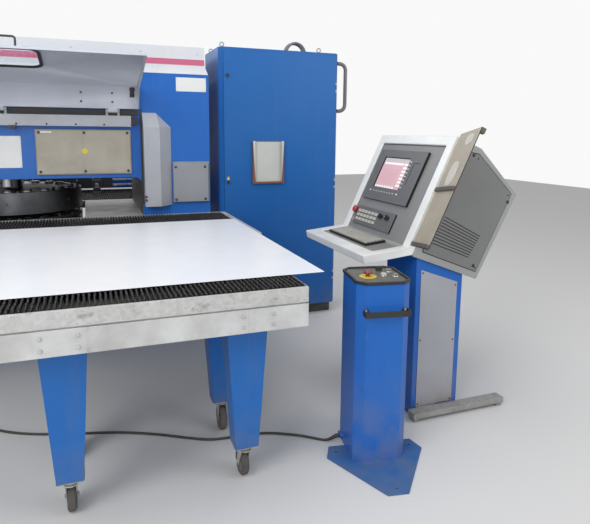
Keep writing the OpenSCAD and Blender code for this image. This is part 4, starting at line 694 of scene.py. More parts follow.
guide_collar = turned_part([(0.037, 0), (0.037, 0.004), (0.0345, 0.0065), (0.0305, 0.0065)], 24)
set_parts("guide_collars", guide_collar, round_disc(station_r, stations, upper_top - upper_step),
          "upper_disc", steel)
punch_head = turned_part([(0.027, -0.0005), (0.027, 0.0001), (0.0262, 0.0003)], 24)
set_parts("punch_heads", punch_head, round_disc(station_r, stations, upper_top), "upper_disc", steel)
disc_screw = turned_part([(0.0105, 0), (0.0105, 0.008), (0.0095, 0.009)], 12, 0.005, 0.005)
set_parts("upper_disc_screws", disc_screw, round_disc(screw_ring_r, between, upper_top - upper_step),
          "upper_disc", dark_steel)
set_parts("upper_rim_screws", socket_screw(0.006, 0.005),
          [((disc_r * math.cos(a), disc_r * math.sin(a), rim_middle), (0, math.pi / 2, a))
           for a in stations], "upper_disc", dark_steel)
die_ring = turned_part([(0.029, 0), (0.0285, 0.0025), (0.021, 0.003), (0.020, 0.001)], 24)
set_parts("die_rings", die_ring, round_disc(station_r, stations, lower_top - die_depth), "lower_disc",
          steel)
set_parts("lower_disc_screws", disc_screw, round_disc(screw_ring_r, between, lower_top), "lower_disc",
          dark_steel)

# Ram: the ground steel rod over the front station. Its collar sits in the frame above the
# throat.
dress("ram", steel)

# Machine table: a rail of drawn bar, a sheet tray and welded brackets, bolted to the frame before and
# behind the throat. The rails' tops are rubbed bright by the sheets.
rail_metal = finish("rubbed rail", "galvanised", (0.50, 0.51, 0.51), (0.40, 0.405, 0.40), 0.42,
                    Under=(0.24, 0.24, 0.23), Dirt=(0.10, 0.09, 0.075), Patch_Scale=8.0, Mottle=0.9,
                    Wear=0.4, Scratch=0.8, Dust=0.25, Grime=0.55, Grime_Top=0.5, Grain=0.00008,
                    Grain_Scale=300.0)
# The trays are coloured near black: painted shade under the bristle rows.
tray_painted_shade = finish("tray sheet darkened as shade", "galvanised", (0.10, 0.10, 0.10), (0.15, 0.15, 0.145), 0.5, Wear=0.2,
                    Scratch=0.5, Dust=0.3, Grime=0.4, Grain=0.0001)


def table_face(middle, normal):
    """The brackets are blue, the trays are painted dark as shade under the bristles, the rails are rubbed
    bar.
    """
    bracket_x = 0.61875 if abs(middle.x) < 0.9 else 1.2375
    if middle.z < 0.868 and abs(abs(middle.x) - bracket_x) < 0.016:
        return 2
    return 1 if 0.869 < middle.z < 0.879 and abs(middle.x) < 1.439 else 0


soft_copy("table_rails", "machine_table", 0.002, "machine", [rail_metal, tray_painted_shade, blue_paint],
          table_face)
table_top, front_rail_y, side_rail_x = 0.905, -1.48, 1.462
spots = [((x, front_rail_y, table_top), (0, 0, 0)) for x in (-1.2, -0.8, -0.4, 0.0, 0.4, 0.8, 1.2)]
spots += [((side * side_rail_x, y, table_top), (0, 0, 0)) for side in (-1, 1)
          for y in (-1.3, -1.0, -0.7, 0.6)]
flat_screw = turned_part([(0.0075, -0.0005), (0.0075, 0.0004)], 12, 0.0038, 0.002)
set_parts("rail_screws", flat_screw, spots, "machine", dark_steel, turn_jitter=3.0)

# Brush rows: bundles of black bristle crimped in narrow channels, side by side on the trays. They carry
# the sheet without a scratch. One tree lays out a table's rows, its channels and its bundles.
brusher = bpy.data.node_groups.new("brush rows", "GeometryNodeTree")
given = sockets(brusher, (
    "Geometry Geometry", "Rows Int", "Row Pitch Float", "Bundles Int", "Bundle Pitch Float",
    "Bristle Height Float", "Bundle Radius Float", "Spread Float", "Lean Float", "Seed Int",
    "Bristle Material", "Channel Height Float", "Channel Width Float", "Channel Material",
), ("Geometry Geometry",))


def times(first, second):
    return sums(brusher, "MULTIPLY", first, second)


def xyz(x=0.0, y=0.0, z=0.0):
    return step(brusher, "ShaderNodeCombineXYZ", {0: x, 1: y, 2: z}).outputs[0]


def chance_of(low, high, seed):
    wires = {0: low, 1: high, 8: seed}
    return step(brusher, "FunctionNodeRandomValue", wires, data_type="FLOAT_VECTOR").outputs[0]


def grow(kind, wires, **settings):
    return step(brusher, "GeometryNode" + kind, wires, **settings).outputs[0]


width = times(sums(brusher, "SUBTRACT", given["Rows"], 1.0), given["Row Pitch"])
length = times(sums(brusher, "SUBTRACT", given["Bundles"], 1.0), given["Bundle Pitch"])
grid = grow("MeshGrid", {"Size X": width, "Size Y": length, "Vertices X": given["Rows"],
                         "Vertices Y": given["Bundles"]})
nudge = chance_of((-0.0006, -0.0012, -0.0012), (0.0006, 0.0012, 0.0), given["Seed"])
grid = grow("SetPosition", {"Geometry": grid, "Offset": nudge})
bundle = grow("MeshCone", {"Vertices": 5, "Radius Top": times(given["Bundle Radius"], given["Spread"]),
                           "Radius Bottom": given["Bundle Radius"], "Depth": given["Bristle Height"]},
              fill_type="TRIANGLE_FAN")
less = times(given["Lean"], -1.0)
slants = chance_of(xyz(less, less, -3.0), xyz(given["Lean"], given["Lean"], 3.0), 11)
slants = step(brusher, "FunctionNodeEulerToRotation", {0: slants}).outputs[0]
sizes = chance_of((0.85, 0.85, 0.94), (1.12, 1.12, 1.0), 17)
tufts = grow("InstanceOnPoints", {"Points": grid, "Instance": bundle, "Rotation": slants, "Scale": sizes})
row_line = grow("MeshLine", {"Start Location": xyz(times(width, -0.5)), "Count": given["Rows"],
                             "Offset": xyz(given["Row Pitch"])}, mode="OFFSET")
size = xyz(given["Channel Width"], sums(brusher, "ADD", length, 0.006), given["Channel Height"])
drop = xyz(z=times(given["Channel Height"], -0.25))
channel = grow("Transform", {"Geometry": grow("MeshCube", {"Size": size}), "Translation": drop})
channels = grow("InstanceOnPoints", {"Points": row_line, "Instance": channel})
joined = brusher.nodes.new("GeometryNodeJoinGeometry")
for many, coat in ((channels, "Channel"), (tufts, "Bristle")):
    faced = grow("SetMaterial", {"Geometry": grow("RealizeInstances", {0: many}), "Material": given[coat]})
    brusher.links.new(faced, joined.inputs[0])
step(brusher, "NodeGroupOutput", {0: joined.outputs[0]})
bristle = finish("black bristle", "bristle", (0.010, 0.010, 0.011), (0.035, 0.034, 0.033), 0.5,
                 Dirt=(0.10, 0.095, 0.09), Patch_Scale=120.0, Mottle=1.0, Edge_Radius=0.0006, Wear=0.0,
                 Scratch=0.0, Dust=0.55, Grime=0.1, Grime_Top=0.1, Grain=0.0006, Grain_Scale=1500.0)
brush_channel = finish("brush channel", "galvanised", (0.075, 0.075, 0.076), (0.12, 0.12, 0.12), 0.42,
                       Wear=0.25, Scratch=0.4, Dust=0.25)
row_pitch, bristle_middle = 0.0185, 0.8855
for label, x, y, rows, bundles, pitch, seed in (
    ("front_left_brushes", -0.7215, -0.9955, 78, 99, 0.0090, 3),
    ("front_right_brushes", 0.7215, -0.9955, 78, 99, 0.0090, 4),
    ("rear_left_brushes", -0.7215, 1.0, 78, 100, 0.0090, 5),
    ("rear_right_brushes", 0.7215, 1.0, 78, 100, 0.0090, 6),
    ("extension_brushes", 0.752, -2.2115, 60, 132, 0.0064, 7),
):
    values = {"Rows": rows, "Row Pitch": row_pitch, "Bundles": bundles, "Bundle Pitch": pitch, "Seed": seed,
              "Bristle": bristle, "Bristle Height": 0.026, "Bundle Radius": 0.36 * pitch, "Spread": 1.32,
              "Lean": 0.11, "Channel": brush_channel, "Channel Height": 0.010, "Channel Width": 0.009}
    mesh = grown_mesh(label, bpy.data.meshes.new(label), brusher, values)
    mesh.transform(Matrix.Translation((x, y, bristle_middle)))
    numbers = [0] * len(mesh.polygons)
    mesh.polygons.foreach_get("material_index", numbers)
    of_bristle = [slot == bristle for slot in mesh.materials]
    mesh.materials.clear()
    brushes = keep(label, mesh, "machine", [bristle, brush_channel], smooth=50)
    mesh.polygons.foreach_set("material_index", [0 if of_bristle[number] else 1 for number in numbers])
    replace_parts(brushes, "brush_strips")

# Cross slide: the blue beam that feeds the sheet along Y over the rear table, with two ground guide
# bars on its front. The clamp carriage runs on them along X, with three pneumatic sheet clamps.
soft_copy("slide_beam", "cross_slide", 0.003, "feed_beam", [blue_paint, steel],
          lambda middle, normal: 1 if middle.y < 1.2999 else 0)
set_parts("guide_screws", flat_screw, [((-1.35 + 0.15 * i, 1.286, z), to_front) for i in range(19)
                                       for z in (0.969, 1.021)],
          "feed_beam", dark_steel, turn_jitter=3.0)
soft_copy("clamp_carriage", "carriage", 0.002, "clamp_bar", [dark_steel, steel],
          lambda middle, normal: 1 if middle.y < 1.17 and middle.z < 0.935 else 0)
clamp_x = (-0.6, 0.6, 0.0)
spots = [((x + dx, 1.2557, 0.99 + dz), to_front) for x in clamp_x for dx in (-0.18, 0.18)
         for dz in (-0.03, 0.03)]
spots += [((x + dx, 1.190, 1.045), (0, 0, 0)) for x in clamp_x for dx in (-0.03, 0.03)]
set_parts("carriage_screws", socket_screw(0.006, 0.005), spots, "clamp_bar", steel, turn_jitter=3.0)
cylinder = turned_part([(0.020, 0), (0.020, 0.030), (0.016, 0.033), (0.016, 0.038)], 20)
set_parts("clamp_cylinders", cylinder, [((x, 1.18, 0.959), (0, 0, 0), (0.8, 0.8, 1)) for x in clamp_x],
          "clamp_bar", steel)

# Sheet blank: 2 mm steel sheet with a white coat, freshly cut. It lies loose and flat on the bristles
# of both tables.
sheet_coat = finish("coated sheet", "sheet_white", (0.88, 0.895, 0.925), (0.84, 0.855, 0.885), 0.30,
                    coat=0.12, Under=(0.5, 0.5, 0.5), Dirt=(0.55, 0.55, 0.54), Patch_Scale=0.9,
                    Edge_Radius=0.0006, Wear=0.0, Scratch=0.12, Dust=0.12, Grime=0.05, Grime_Top=0.1,
                    Grain=0.00002, Grain_Scale=160.0)
sheet = slabs("coated_sheet", [((-0.050, -2.478, 0.912), (1.450, -0.928, 0.914))], 0.0005, "machine",
              sheet_coat)
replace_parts(sheet, "sheet_blank")

# Extension table: a galvanised upper rail of pressed sheet round a tray. The spangle shows, and sheets
# and forks have rubbed, dented and stained it.
spangle = bpy.data.node_groups.new("zinc spangle", "ShaderNodeTree")
given = sockets(spangle, ("Crystal Scale Float", "Stain Float"), ("Crystals Float", "Stains Float"))
at = spangle.nodes.new("ShaderNodeTexCoord").outputs["Object"]
crystal = step(spangle, "ShaderNodeTexVoronoi", {"Vector": at, "Scale": given["Crystal Scale"],
                                                 "Randomness": 1.0}).outputs["Color"]
crystal = step(spangle, "ShaderNodeSeparateXYZ", {0: crystal}).outputs[0]
blots = ramp(spangle, noise(spangle, stretched(spangle, at, (1, 1, 1.7)), 9.0, 9.0, 0.72), 0.53, 0.66)
drips = ramp(spangle, noise(spangle, stretched(spangle, at, (26, 26, 4)), 1.0, 6.0, 0.7), 0.58, 0.72)
soil = sums(spangle, "MULTIPLY", sums(spangle, "MAXIMUM", blots, sums(spangle, "MULTIPLY", drips, 0.6)),
            given["Stain"])
step(spangle, "NodeGroupOutput", {"Crystals": crystal, "Stains": soil})


def galvanise(material, crystal_scale, stain, light, dark, soil):
    """Puts zinc crystals and old stains over a finish."""
    tree = material.node_tree
    colour = tree.nodes["Principled BSDF"].inputs["Base Color"]
    zinc = step(tree, "ShaderNodeGroup", {}, node_tree=spangle)
    zinc.inputs["Crystal Scale"].default_value = crystal_scale
    zinc.inputs["Stain"].default_value = stain
    cells = mixed(tree, zinc.outputs["Crystals"], (*light, 1), (*dark, 1))
    blend = step(tree, "ShaderNodeMix", {0: 0.55, 6: colour.links[0].from_socket, 7: cells},
                 data_type="RGBA").outputs[2]
    tree.links.new(mixed(tree, zinc.outputs["Stains"], blend, (*soil, 1)), colour)


zinc_rail = finish("galvanised rail", "galvanised", (0.43, 0.43, 0.425), (0.33, 0.33, 0.32), 0.45,
                   Under=(0.20, 0.19, 0.175), Dirt=(0.11, 0.10, 0.085), Patch_Scale=7.0, Mottle=0.9,
                   Edge_Radius=0.004, Wear=0.5, Scratch=0.9, Grime=0.35, Grime_Top=0.3, Grain=0.00012,
                   Grain_Scale=260.0)
galvanise(zinc_rail, 75.0, 0.55, (0.56, 0.56, 0.555), (0.42, 0.42, 0.415), (0.16, 0.15, 0.135))
skirt_paint = finish("skirt paint", "white_paint", (0.56, 0.57, 0.575), (0.48, 0.485, 0.485), 0.42,
                     Under=(0.16, 0.15, 0.14), Dirt=(0.15, 0.135, 0.115), Patch_Scale=4.0, Mottle=0.8,
                     Edge_Radius=0.003, Wear=0.42, Scratch=0.6, Dust=0.3, Grime=0.75, Grime_Top=1.2,
                     Grain=0.00008, Grain_Scale=360.0)
# The extension's tray under the bristles takes the same painted shade.
soft_copy("zinc_rail", "extension_rail", 0.0018, "machine", [zinc_rail, tray_painted_shade],
          lambda middle, normal: 1 if 0.869 < middle.z < 0.879 and abs(normal.z) > 0.9 else 0)
soft_copy("painted_skirt", "extension_skirt", 0.0018, "machine", skirt_paint)
ext_x, ext_front, ext_rear = 0.194, -2.650, -1.773
leg_x, front_leg_y, rear_leg_y = (0.4005, 1.1035), -2.430, -1.993
rivet_spots = [((ext_x + 0.05 + 0.1265 * i, y, 0.855), turn)
               for y, turn in ((ext_front - 0.0001, to_front), (ext_rear + 0.0001, to_rear))
               for i in range(9)]
set_parts("rail_rivets", turned_part([(0.0036, -0.0004), (0.0034, 0.0007), (0.0020, 0.0014)], 10),
          rivet_spots, "machine", rail_metal)
spots = [((x + dx, y, z), turn)
         for y, turn in ((ext_front - 0.0002, to_front), (ext_rear + 0.0002, to_rear))
         for x in leg_x for dx in (-0.06, 0.06) for z in (0.770, 0.812)]
skirt_bolt = turned_part([(0.0085, 0), (0.0085, 0.0012), (0.006, 0.0013), (0.006, 0.0046),
                          (0.005, 0.0052)], 6)
set_parts("skirt_bolts", skirt_bolt, spots, "machine", rail_metal, smooth=20, turn_jitter=1.0)

# Extension legs: four tapered legs of folded sheet, painted blue. They are bolted under the skirt, and
# each stands on a caster's plate with four nuts.
leg_paint = finish("leg paint", "blue_paint", (0.012, 0.112, 0.390), (0.020, 0.132, 0.420), 0.42, coat=0.08,
                   Under=steel_bare, Dirt=(0.15, 0.14, 0.125), Mottle=0.8, Edge_Radius=0.003, Wear=0.45,
                   Scratch=0.6, Grime=0.6, Grime_Top=0.35, Grain=0.00006, Grain_Scale=420.0)
soft_copy("table_legs", "extension_legs", 0.004, "machine", leg_paint, segments=3)
legs = [(x, y) for x in leg_x for y in (front_leg_y, rear_leg_y)]
foot_bolt = turned_part([(0.0075, 0), (0.0075, 0.0012), (0.0058, 0.0013), (0.0058, 0.0045)], 6)
set_parts("foot_nuts", foot_bolt, [((x + dx, y + dy, 0.159), (math.pi, 0, 0)) for x, y in legs
                                   for dx in (-0.042, 0.042) for dy in (-0.036, 0.036)],
          "machine", rail_metal, smooth=20)

# Casters: zinc-plated forks of pressed sheet with a ball race, and solid rubber wheels on a cast hub.
# The front pair swivels, the rear pair is fixed.
zinc_plate = finish("zinc plating", "steel", (0.44, 0.44, 0.42), (0.33, 0.325, 0.30), 0.38,
                    Under=(0.22, 0.13, 0.08), Dirt=(0.07, 0.065, 0.055), Patch_Scale=22.0, Mottle=0.9,
                    Edge_Radius=0.0015, Wear=0.4, Scratch=0.7, Dust=0.4, Grime=0.7, Grime_Top=0.2,
                    Grain=0.00006)
tread = finish("wheel rubber", "black_rubber", (0.030, 0.030, 0.031), (0.055, 0.053, 0.050), 0.65,
               Dirt=(0.12, 0.11, 0.095), Patch_Scale=30.0, Mottle=0.8, Wear=0.0, Scratch=0.3, Dust=0.4,
               Grime=0.9, Grime_Top=0.2, Grain=0.00015)
hub_cast = finish("cast hub", "grey_plastic", (0.16, 0.16, 0.165), (0.22, 0.22, 0.22), 0.5, Wear=0.2,
                  Scratch=0.4, Dust=0.4, Grime=0.8, Grime_Top=0.2, Grain=0.0001)
soft_copy("caster_mounts", "caster_plates", 0.0008, "machine", zinc_plate)
race = turned_part([(0.031, 0), (0.032, 0.004), (0.030, 0.009), (0.022, 0.011)], 28)
nut = turned_part([(0.0095, 0), (0.0095, 0.005), (0.0078, 0.0064)], 6)
front_axle_y, axle_z, axle_half = -2.396, 0.062, 0.0213
for side, x in zip(("left", "right"), leg_x):
    soft_copy(side + "_caster_fork", side + "_fork", 0.0008, side + "_caster", zinc_plate)
    set_parts(side + "_race", race, [((x, front_leg_y, 0.1402), (0, 0, 0))], side + "_caster", zinc_plate)
    spots = [((x + way * axle_half, front_axle_y, axle_z), (0, way * math.pi / 2, 0)) for way in (1, -1)]
    set_parts(side + "_axle_nuts", nut, spots, side + "_caster", zinc_plate, smooth=20)


def wheel_face(axle_y):
    """The tread is rubber, the web and the hub are cast."""
    return lambda middle, normal: 0 if math.hypot(middle.y - axle_y, middle.z - axle_z) > 0.0475 else 1


for label, source, body, y in (
    ("left_tread", "left_wheel", "left_roller", front_axle_y),
    ("right_tread", "right_wheel", "right_roller", front_axle_y),
    ("rear_treads", "rear_wheels", "rear_rollers", rear_leg_y),
):
    soft_copy(label, source, 0.0015, body, [tread, hub_cast], wheel_face(y))
spots = [((x + way * axle_half, rear_leg_y, axle_z), (0, way * math.pi / 2, 0)) for x in leg_x
         for way in (-1, 1)]
set_parts("rear_axle_nuts", nut, spots, "machine", zinc_plate, smooth=20)

# Electrical cabinet: a welded sheet case on a black plinth, painted blue, with folded front corners.
# It stands free on the floor beside the press, and the door's hinge pins are welded to it.
cabinet_paint = finish("cabinet paint", "blue_paint", (0.014, 0.115, 0.380), (0.020, 0.128, 0.400), 0.45,
                       coat=0.06, Under=steel_bare, Dirt=shop_dust, Patch_Scale=1.6, Mottle=0.7,
                       Edge_Radius=0.003, Wear=0.22, Scratch=0.25, Grime_Top=0.35, Grain=0.00008,
                       Grain_Scale=300.0)
plinth_black = finish("plinth paint", "dark_steel", (0.014, 0.014, 0.015), (0.028, 0.028, 0.028), 0.55,
                      Wear=0.4, Scratch=0.5, Dust=0.5, Grime=0.9, Grime_Top=0.15, Grain=0.0001)


def cabinet_face(middle, normal):
    """The plinth is black, the hinge pins are zinc, the case is blue."""
    if middle.z < 0.0845 and abs(normal.z) < 0.9:
        return 1
    return 2 if middle.x > 2.4035 and middle.y < -0.4505 else 0


soft_copy("cabinet_case", "cabinet_body", 0.0025, "machine", [cabinet_paint, plinth_black, zinc_plate],
          cabinet_face)
set_parts("side_rivets", turned_part([(0.0045, -0.0004), (0.0043, 0.0009), (0.0025, 0.0019)], 10),
          [((2.440, y, z), (0, math.pi / 2, 0)) for y in (-0.39, 0.0) for z in (0.14, 0.80, 1.46, 2.07)],
          "machine", cabinet_paint)

# Cabinet door: one folded sheet, painted blue, on three lift-off hinges, with painted shade that darkens
# it towards the floor. Two quarter-turn locks hold it shut.
door_paint = finish("door paint", "blue_paint", (0.012, 0.120, 0.385), (0.012, 0.105, 0.345), 0.42,
                    coat=0.06, Under=steel_bare, Dirt=shop_dust, Patch_Scale=1.1, Mottle=0.8,
                    Edge_Radius=0.003, Wear=0.25, Scratch=0.3, Dust=0.15, Grime=0.35, Grime_Top=0.3,
                    Grain=0.00006, Grain_Scale=300.0)
# Painted shade: the paint is multiplied darker towards the floor, as the light falls off down the door.
tree = door_paint.node_tree
height = step(tree, "ShaderNodeSeparateXYZ",
              {0: tree.nodes.new("ShaderNodeTexCoord").outputs["Object"]}).outputs[2]
colour = tree.nodes["Principled BSDF"].inputs["Base Color"]
door_painted_shade = step(tree, "ShaderNodeMix", {0: 1.0, 6: colour.links[0].from_socket, 7: (0.62, 0.78, 0.86, 1)},
              data_type="RGBA", blend_type="MULTIPLY").outputs[2]
tree.links.new(mixed(tree, ramp(tree, height, 0.5, 1.7), door_painted_shade, colour.links[0].from_socket), colour)
soft_copy("door_sheet", "cabinet_door", 0.004, "door", door_paint, segments=3)
soft_copy("door_locks_top", "upper_lock", 0.0008, "top_lock", black_plastic)
soft_copy("door_locks_bottom", "lower_lock", 0.0008, "bottom_lock", black_plastic)
slabs("lock_tab", [((1.513, -0.4712, 1.1415), (1.533, -0.4702, 1.1585)),
                   ((1.518, -0.4712, 1.1585), (1.528, -0.4702, 1.1665))], 0.0004, "door", yellow)

# Document holder: a moulded brown plastic pocket with a white page in its frame. It is fixed flat on
# the door.
brown_plastic = finish("brown plastic", "brown_plastic", (0.165, 0.062, 0.042), (0.20, 0.085, 0.060), 0.42,
                       Wear=0.1, Scratch=0.5, Dust=0.3, Grime=0.2, Grain_Scale=800.0)
page_white = finish("printed page", "white_plastic", (0.50, 0.515, 0.49), (0.45, 0.465, 0.44), 0.6,
                    Dirt=(0.30, 0.30, 0.28), Patch_Scale=6.0, Mottle=0.9, Wear=0.0, Grime=0.05,
                    Grain=0.0001, Grain_Scale=40.0)
page_x, page_z, page_w, page_h = 1.712, 1.1095, 0.254, 0.328


def holder_face(middle, normal):
    """The page lies inside the frame, set a little back."""
    inside = (abs(middle.x - page_x - page_w / 2) < page_w / 2 - 0.012
              and abs(middle.z - page_z - page_h / 2) < page_h / 2 - 0.012)
    return 1 if inside and abs(normal.y) > 0.9 else 0


soft_copy("page_holder", "document_holder", 0.0008, "door", [brown_plastic, page_white], holder_face)

# Lifting eyes: drop-forged steel rings, zinc plated. They are screwed into the cabinet's roof for the
# crane.
soft_copy("crane_eyes", "lifting_eyes", 0.0006, "machine", zinc_plate, angle=40)

# Conduits: corrugated plastic hoses in hexagon glands, two loops on the roof and one run down the
# side. The glands are screwed into the sheet.
hose_grey = finish("hose plastic", "grey_plastic", (0.150, 0.150, 0.148), (0.20, 0.20, 0.195), 0.5,
                   Wear=0.0, Scratch=0.3, Dust=0.5)


def corrugated(name, corners, bend_radius, radius, pitch):
    """A ribbed hose along a route: every second ring of the tube is narrower."""
    rough = fillet_route(corners, bend_radius, 14)
    lengths = [0.0]
    for a, b in zip(rough, rough[1:]):
        lengths.append(lengths[-1] + (b - a).length)
    count = 2 * int(lengths[-1] / pitch / 2)
    even, k = [], 0
    for i in range(count + 1):
        far = lengths[-1] * i / count
        while k < len(rough) - 2 and lengths[k + 1] < far:
            k += 1
        part = (far - lengths[k]) / max(lengths[k + 1] - lengths[k], 1e-9)
        even.append(rough[k].lerp(rough[k + 1], part))
    return tube_mesh(name, even, [radius * (1.0 if i % 2 else 0.84) for i in range(count + 1)], 16)


loop_r, hose_r, roof_z, loop_x = 0.078, 0.011, 2.128, 2.115
hoses, glands = [], []
for y in (-0.330, -0.285):
    arc = [(loop_x - loop_r * math.cos(a), y, roof_z + loop_r * math.sin(a))
           for a in [math.pi * k / 12 for k in range(13)]]
    hoses.append(corrugated("roof_hose", [(loop_x - loop_r, y, roof_z + 0.002)] + arc[1:-1]
                            + [(loop_x + loop_r, y, roof_z + 0.002)], 0.004, hose_r, 0.0035))
    glands += [((loop_x + side * loop_r, y, roof_z), (0, 0, 0.3)) for side in (-1, 1)]
side_y, side_x, side_high, side_low, reach = -0.360, 2.440, 2.062, 1.682, 0.102
bend_corners = [(side_x + 0.02, side_y, side_high), (side_x + reach, side_y, side_high),
                (side_x + reach, side_y, side_low), (side_x + 0.02, side_y, side_low)]
hoses.append(corrugated("side_hose", bend_corners, 0.060, 0.016, 0.0045))
shell = bmesh.new()
for mesh in hoses:
    shell.from_mesh(mesh)
    bpy.data.meshes.remove(mesh)
hoses = keep("ribbed_hoses", poured(shell, "ribbed_hoses"), "machine", hose_grey, smooth=70)
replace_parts(hoses, "cabinet_conduits")
gland = turned_part([(0.0180, 0), (0.0180, 0.007), (0.0155, 0.008), (0.0160, 0.0155), (0.0130, 0.0185),
                     (0.0112, 0.019)], 6)
set_parts("roof_glands", gland, glands, "machine", black_plastic, smooth=20)
side_gland = turned_part([(0.027, 0), (0.027, 0.010), (0.0225, 0.0115), (0.0235, 0.022), (0.019, 0.0265),
                          (0.0162, 0.027)], 6)
set_parts("side_glands", side_gland, [((side_x, side_y, z), (0, math.pi / 2, 0))
                                      for z in (side_high, side_low)], "machine", black_plastic, smooth=20)

# Console column: a post of folded sheet, painted blue, that carries the console. A light panel is
# screwed on its near side.
soft_copy("console_post", "console_column", 0.003, "machine", blue_paint)
panel_paint = finish("panel paint", "grey_paint", (0.315, 0.320, 0.355), (0.355, 0.360, 0.390), 0.42,
                     coat=0.1, Under=primer, Dirt=shop_dust, Mottle=0.7, Scratch=0.5, Dust=0.3, Grime=0.5,
                     Grime_Top=0.25, Grain=0.00006)
soft_copy("post_panel", "column_panel", 0.0010, "machine", panel_paint)
pan_head = turned_part([(0.0048, 0), (0.0046, 0.0012), (0.0030, 0.0022)], 12, 0.0016, 0.0008)
corners = ((2.128, 0.058), (2.334, 0.058), (2.128, 0.786), (2.334, 0.704), (2.128, 0.42), (2.334, 0.40))
set_parts("post_panel_screws", pan_head, [((x, -2.2130, z), to_front) for x, z in corners], "machine",
          black_plastic)

# Floor channel: a galvanised cable duct that runs from the console's foot to the right. Its lid is
# held by small screws.
duct_metal = finish("duct sheet", "galvanised", (0.34, 0.34, 0.335), (0.24, 0.24, 0.235), 0.5,
                    Dirt=(0.12, 0.11, 0.095), Patch_Scale=9.0, Mottle=0.9, Wear=0.4, Scratch=0.8, Dust=0.5,
                    Grime=0.7, Grime_Top=0.1, Grain=0.00008)
galvanise(duct_metal, 90.0, 0.35, (0.36, 0.36, 0.355), (0.26, 0.26, 0.255), (0.13, 0.12, 0.10))
soft_copy("cable_duct", "floor_channel", 0.0012, "machine", duct_metal)
set_parts("duct_screws", pan_head, [((2.075 + 0.135 * i, -2.260 + side * 0.022, 0.050), (0, 0, 0))
                                    for i in range(5) for side in (-1, 1)],
          "machine", zinc_plate)

# Console case: grey folded sheet behind the white frame. Its darker face carries the modules and is
# edged with a black seal.
slope, nose, fold_point = math.radians(64.9), (1.768, 0.905), (2.022, 0.931)
con_y, con_w, frame_border, recess = -2.225, 0.765, 0.056, 0.012
face_length, shelf_deep, shelf_rise = 0.622, 0.254, 0.026
shelf_length, shelf_slope = math.hypot(shelf_deep, shelf_rise), math.atan2(shelf_rise, shelf_deep)
on_face = Matrix.Translation((fold_point[0], 0, fold_point[1])) @ Matrix.Rotation(-slope, 4, "Y")
on_shelf = Matrix.Translation((nose[0], 0, nose[1])) @ Matrix.Rotation(-shelf_slope, 4, "Y")
face_turn = (0, -slope, 0)
case_grey = finish("case paint", "console_grey", (0.285, 0.290, 0.292), (0.33, 0.335, 0.335), 0.42,
                   coat=0.1, Under=primer, Dirt=shop_dust, Mottle=0.7, Scratch=0.4, Dust=0.3, Grime_Top=0.9,
                   Grain=0.00008)
face_grey = finish("face paint", "console_grey", (0.195, 0.197, 0.195), (0.225, 0.227, 0.225), 0.45,
                   Under=primer, Dirt=(0.22, 0.21, 0.19), Patch_Scale=5.0, Mottle=0.8, Wear=0.1,
                   Scratch=0.4, Dust=0.35, Grime_Top=1.0, Grain=0.00007, Grain_Scale=700.0)
edge_black = finish("edge black", "black_plastic", (0.007, 0.007, 0.008), (0.016, 0.016, 0.017), 0.5,
                    Wear=0.0, Scratch=0.3, Dust=0.15, Grime=0.1)
outward, upward = on_face.to_3x3() @ Vector((0, 0, 1)), on_shelf.to_3x3() @ Vector((0, 0, 1))


def case_face(middle, normal):
    """The recessed screen face and shelf are darker than the case."""
    within = con_y + frame_border - 0.001 < middle.y < con_y + con_w - frame_border + 0.001
    return 1 if within and (normal.dot(outward) > 0.98 or normal.dot(upward) > 0.98) else 0


soft_copy("console_case", "console_body", 0.0025, "machine", [case_grey, face_grey], case_face)
near_y, far_y = con_y + frame_border, con_y + con_w - frame_border
seal_t, seal_w = recess - 0.0015, 0.003
top_rim = face_length - frame_border
slabs("face_seal", [((0.010, near_y, -recess), (top_rim, near_y + seal_w, -seal_t)),
                    ((0.010, far_y - seal_w, -recess), (top_rim, far_y, -seal_t)),
                    ((top_rim - seal_w, near_y, -recess), (top_rim, far_y, -seal_t))],
      0, "machine", edge_black, on_face)
shelf_start = 0.084
slabs("shelf_seal", [((shelf_start, near_y, -recess), (shelf_length - 0.010, near_y + seal_w, -seal_t)),
                     ((shelf_start, far_y - seal_w, -recess), (shelf_length - 0.010, far_y, -seal_t)),
                     ((shelf_start, near_y, -recess), (shelf_start + seal_w, far_y, -seal_t))],
      0, "machine", edge_black, on_shelf)

# Console frame: a moulded border round the screen and the shelf, painted white and pushed on the
# case. It is rubbed grey where hands rest.
frame_white = finish("frame white", "white_paint", (0.76, 0.775, 0.77), (0.70, 0.715, 0.71), 0.42,
                     coat=0.15, Under=(0.34, 0.34, 0.33), Dirt=(0.30, 0.285, 0.26), Patch_Scale=5.0,
                     Mottle=0.8, Edge_Radius=0.004, Wear=0.25, Scratch=0.4, Dust=0.25, Grime=0.25,
                     Grime_Top=1.0, Grain_Scale=600.0)
soft_copy("console_frame", "console_bezel", 0.006, "machine", frame_white, segments=3)

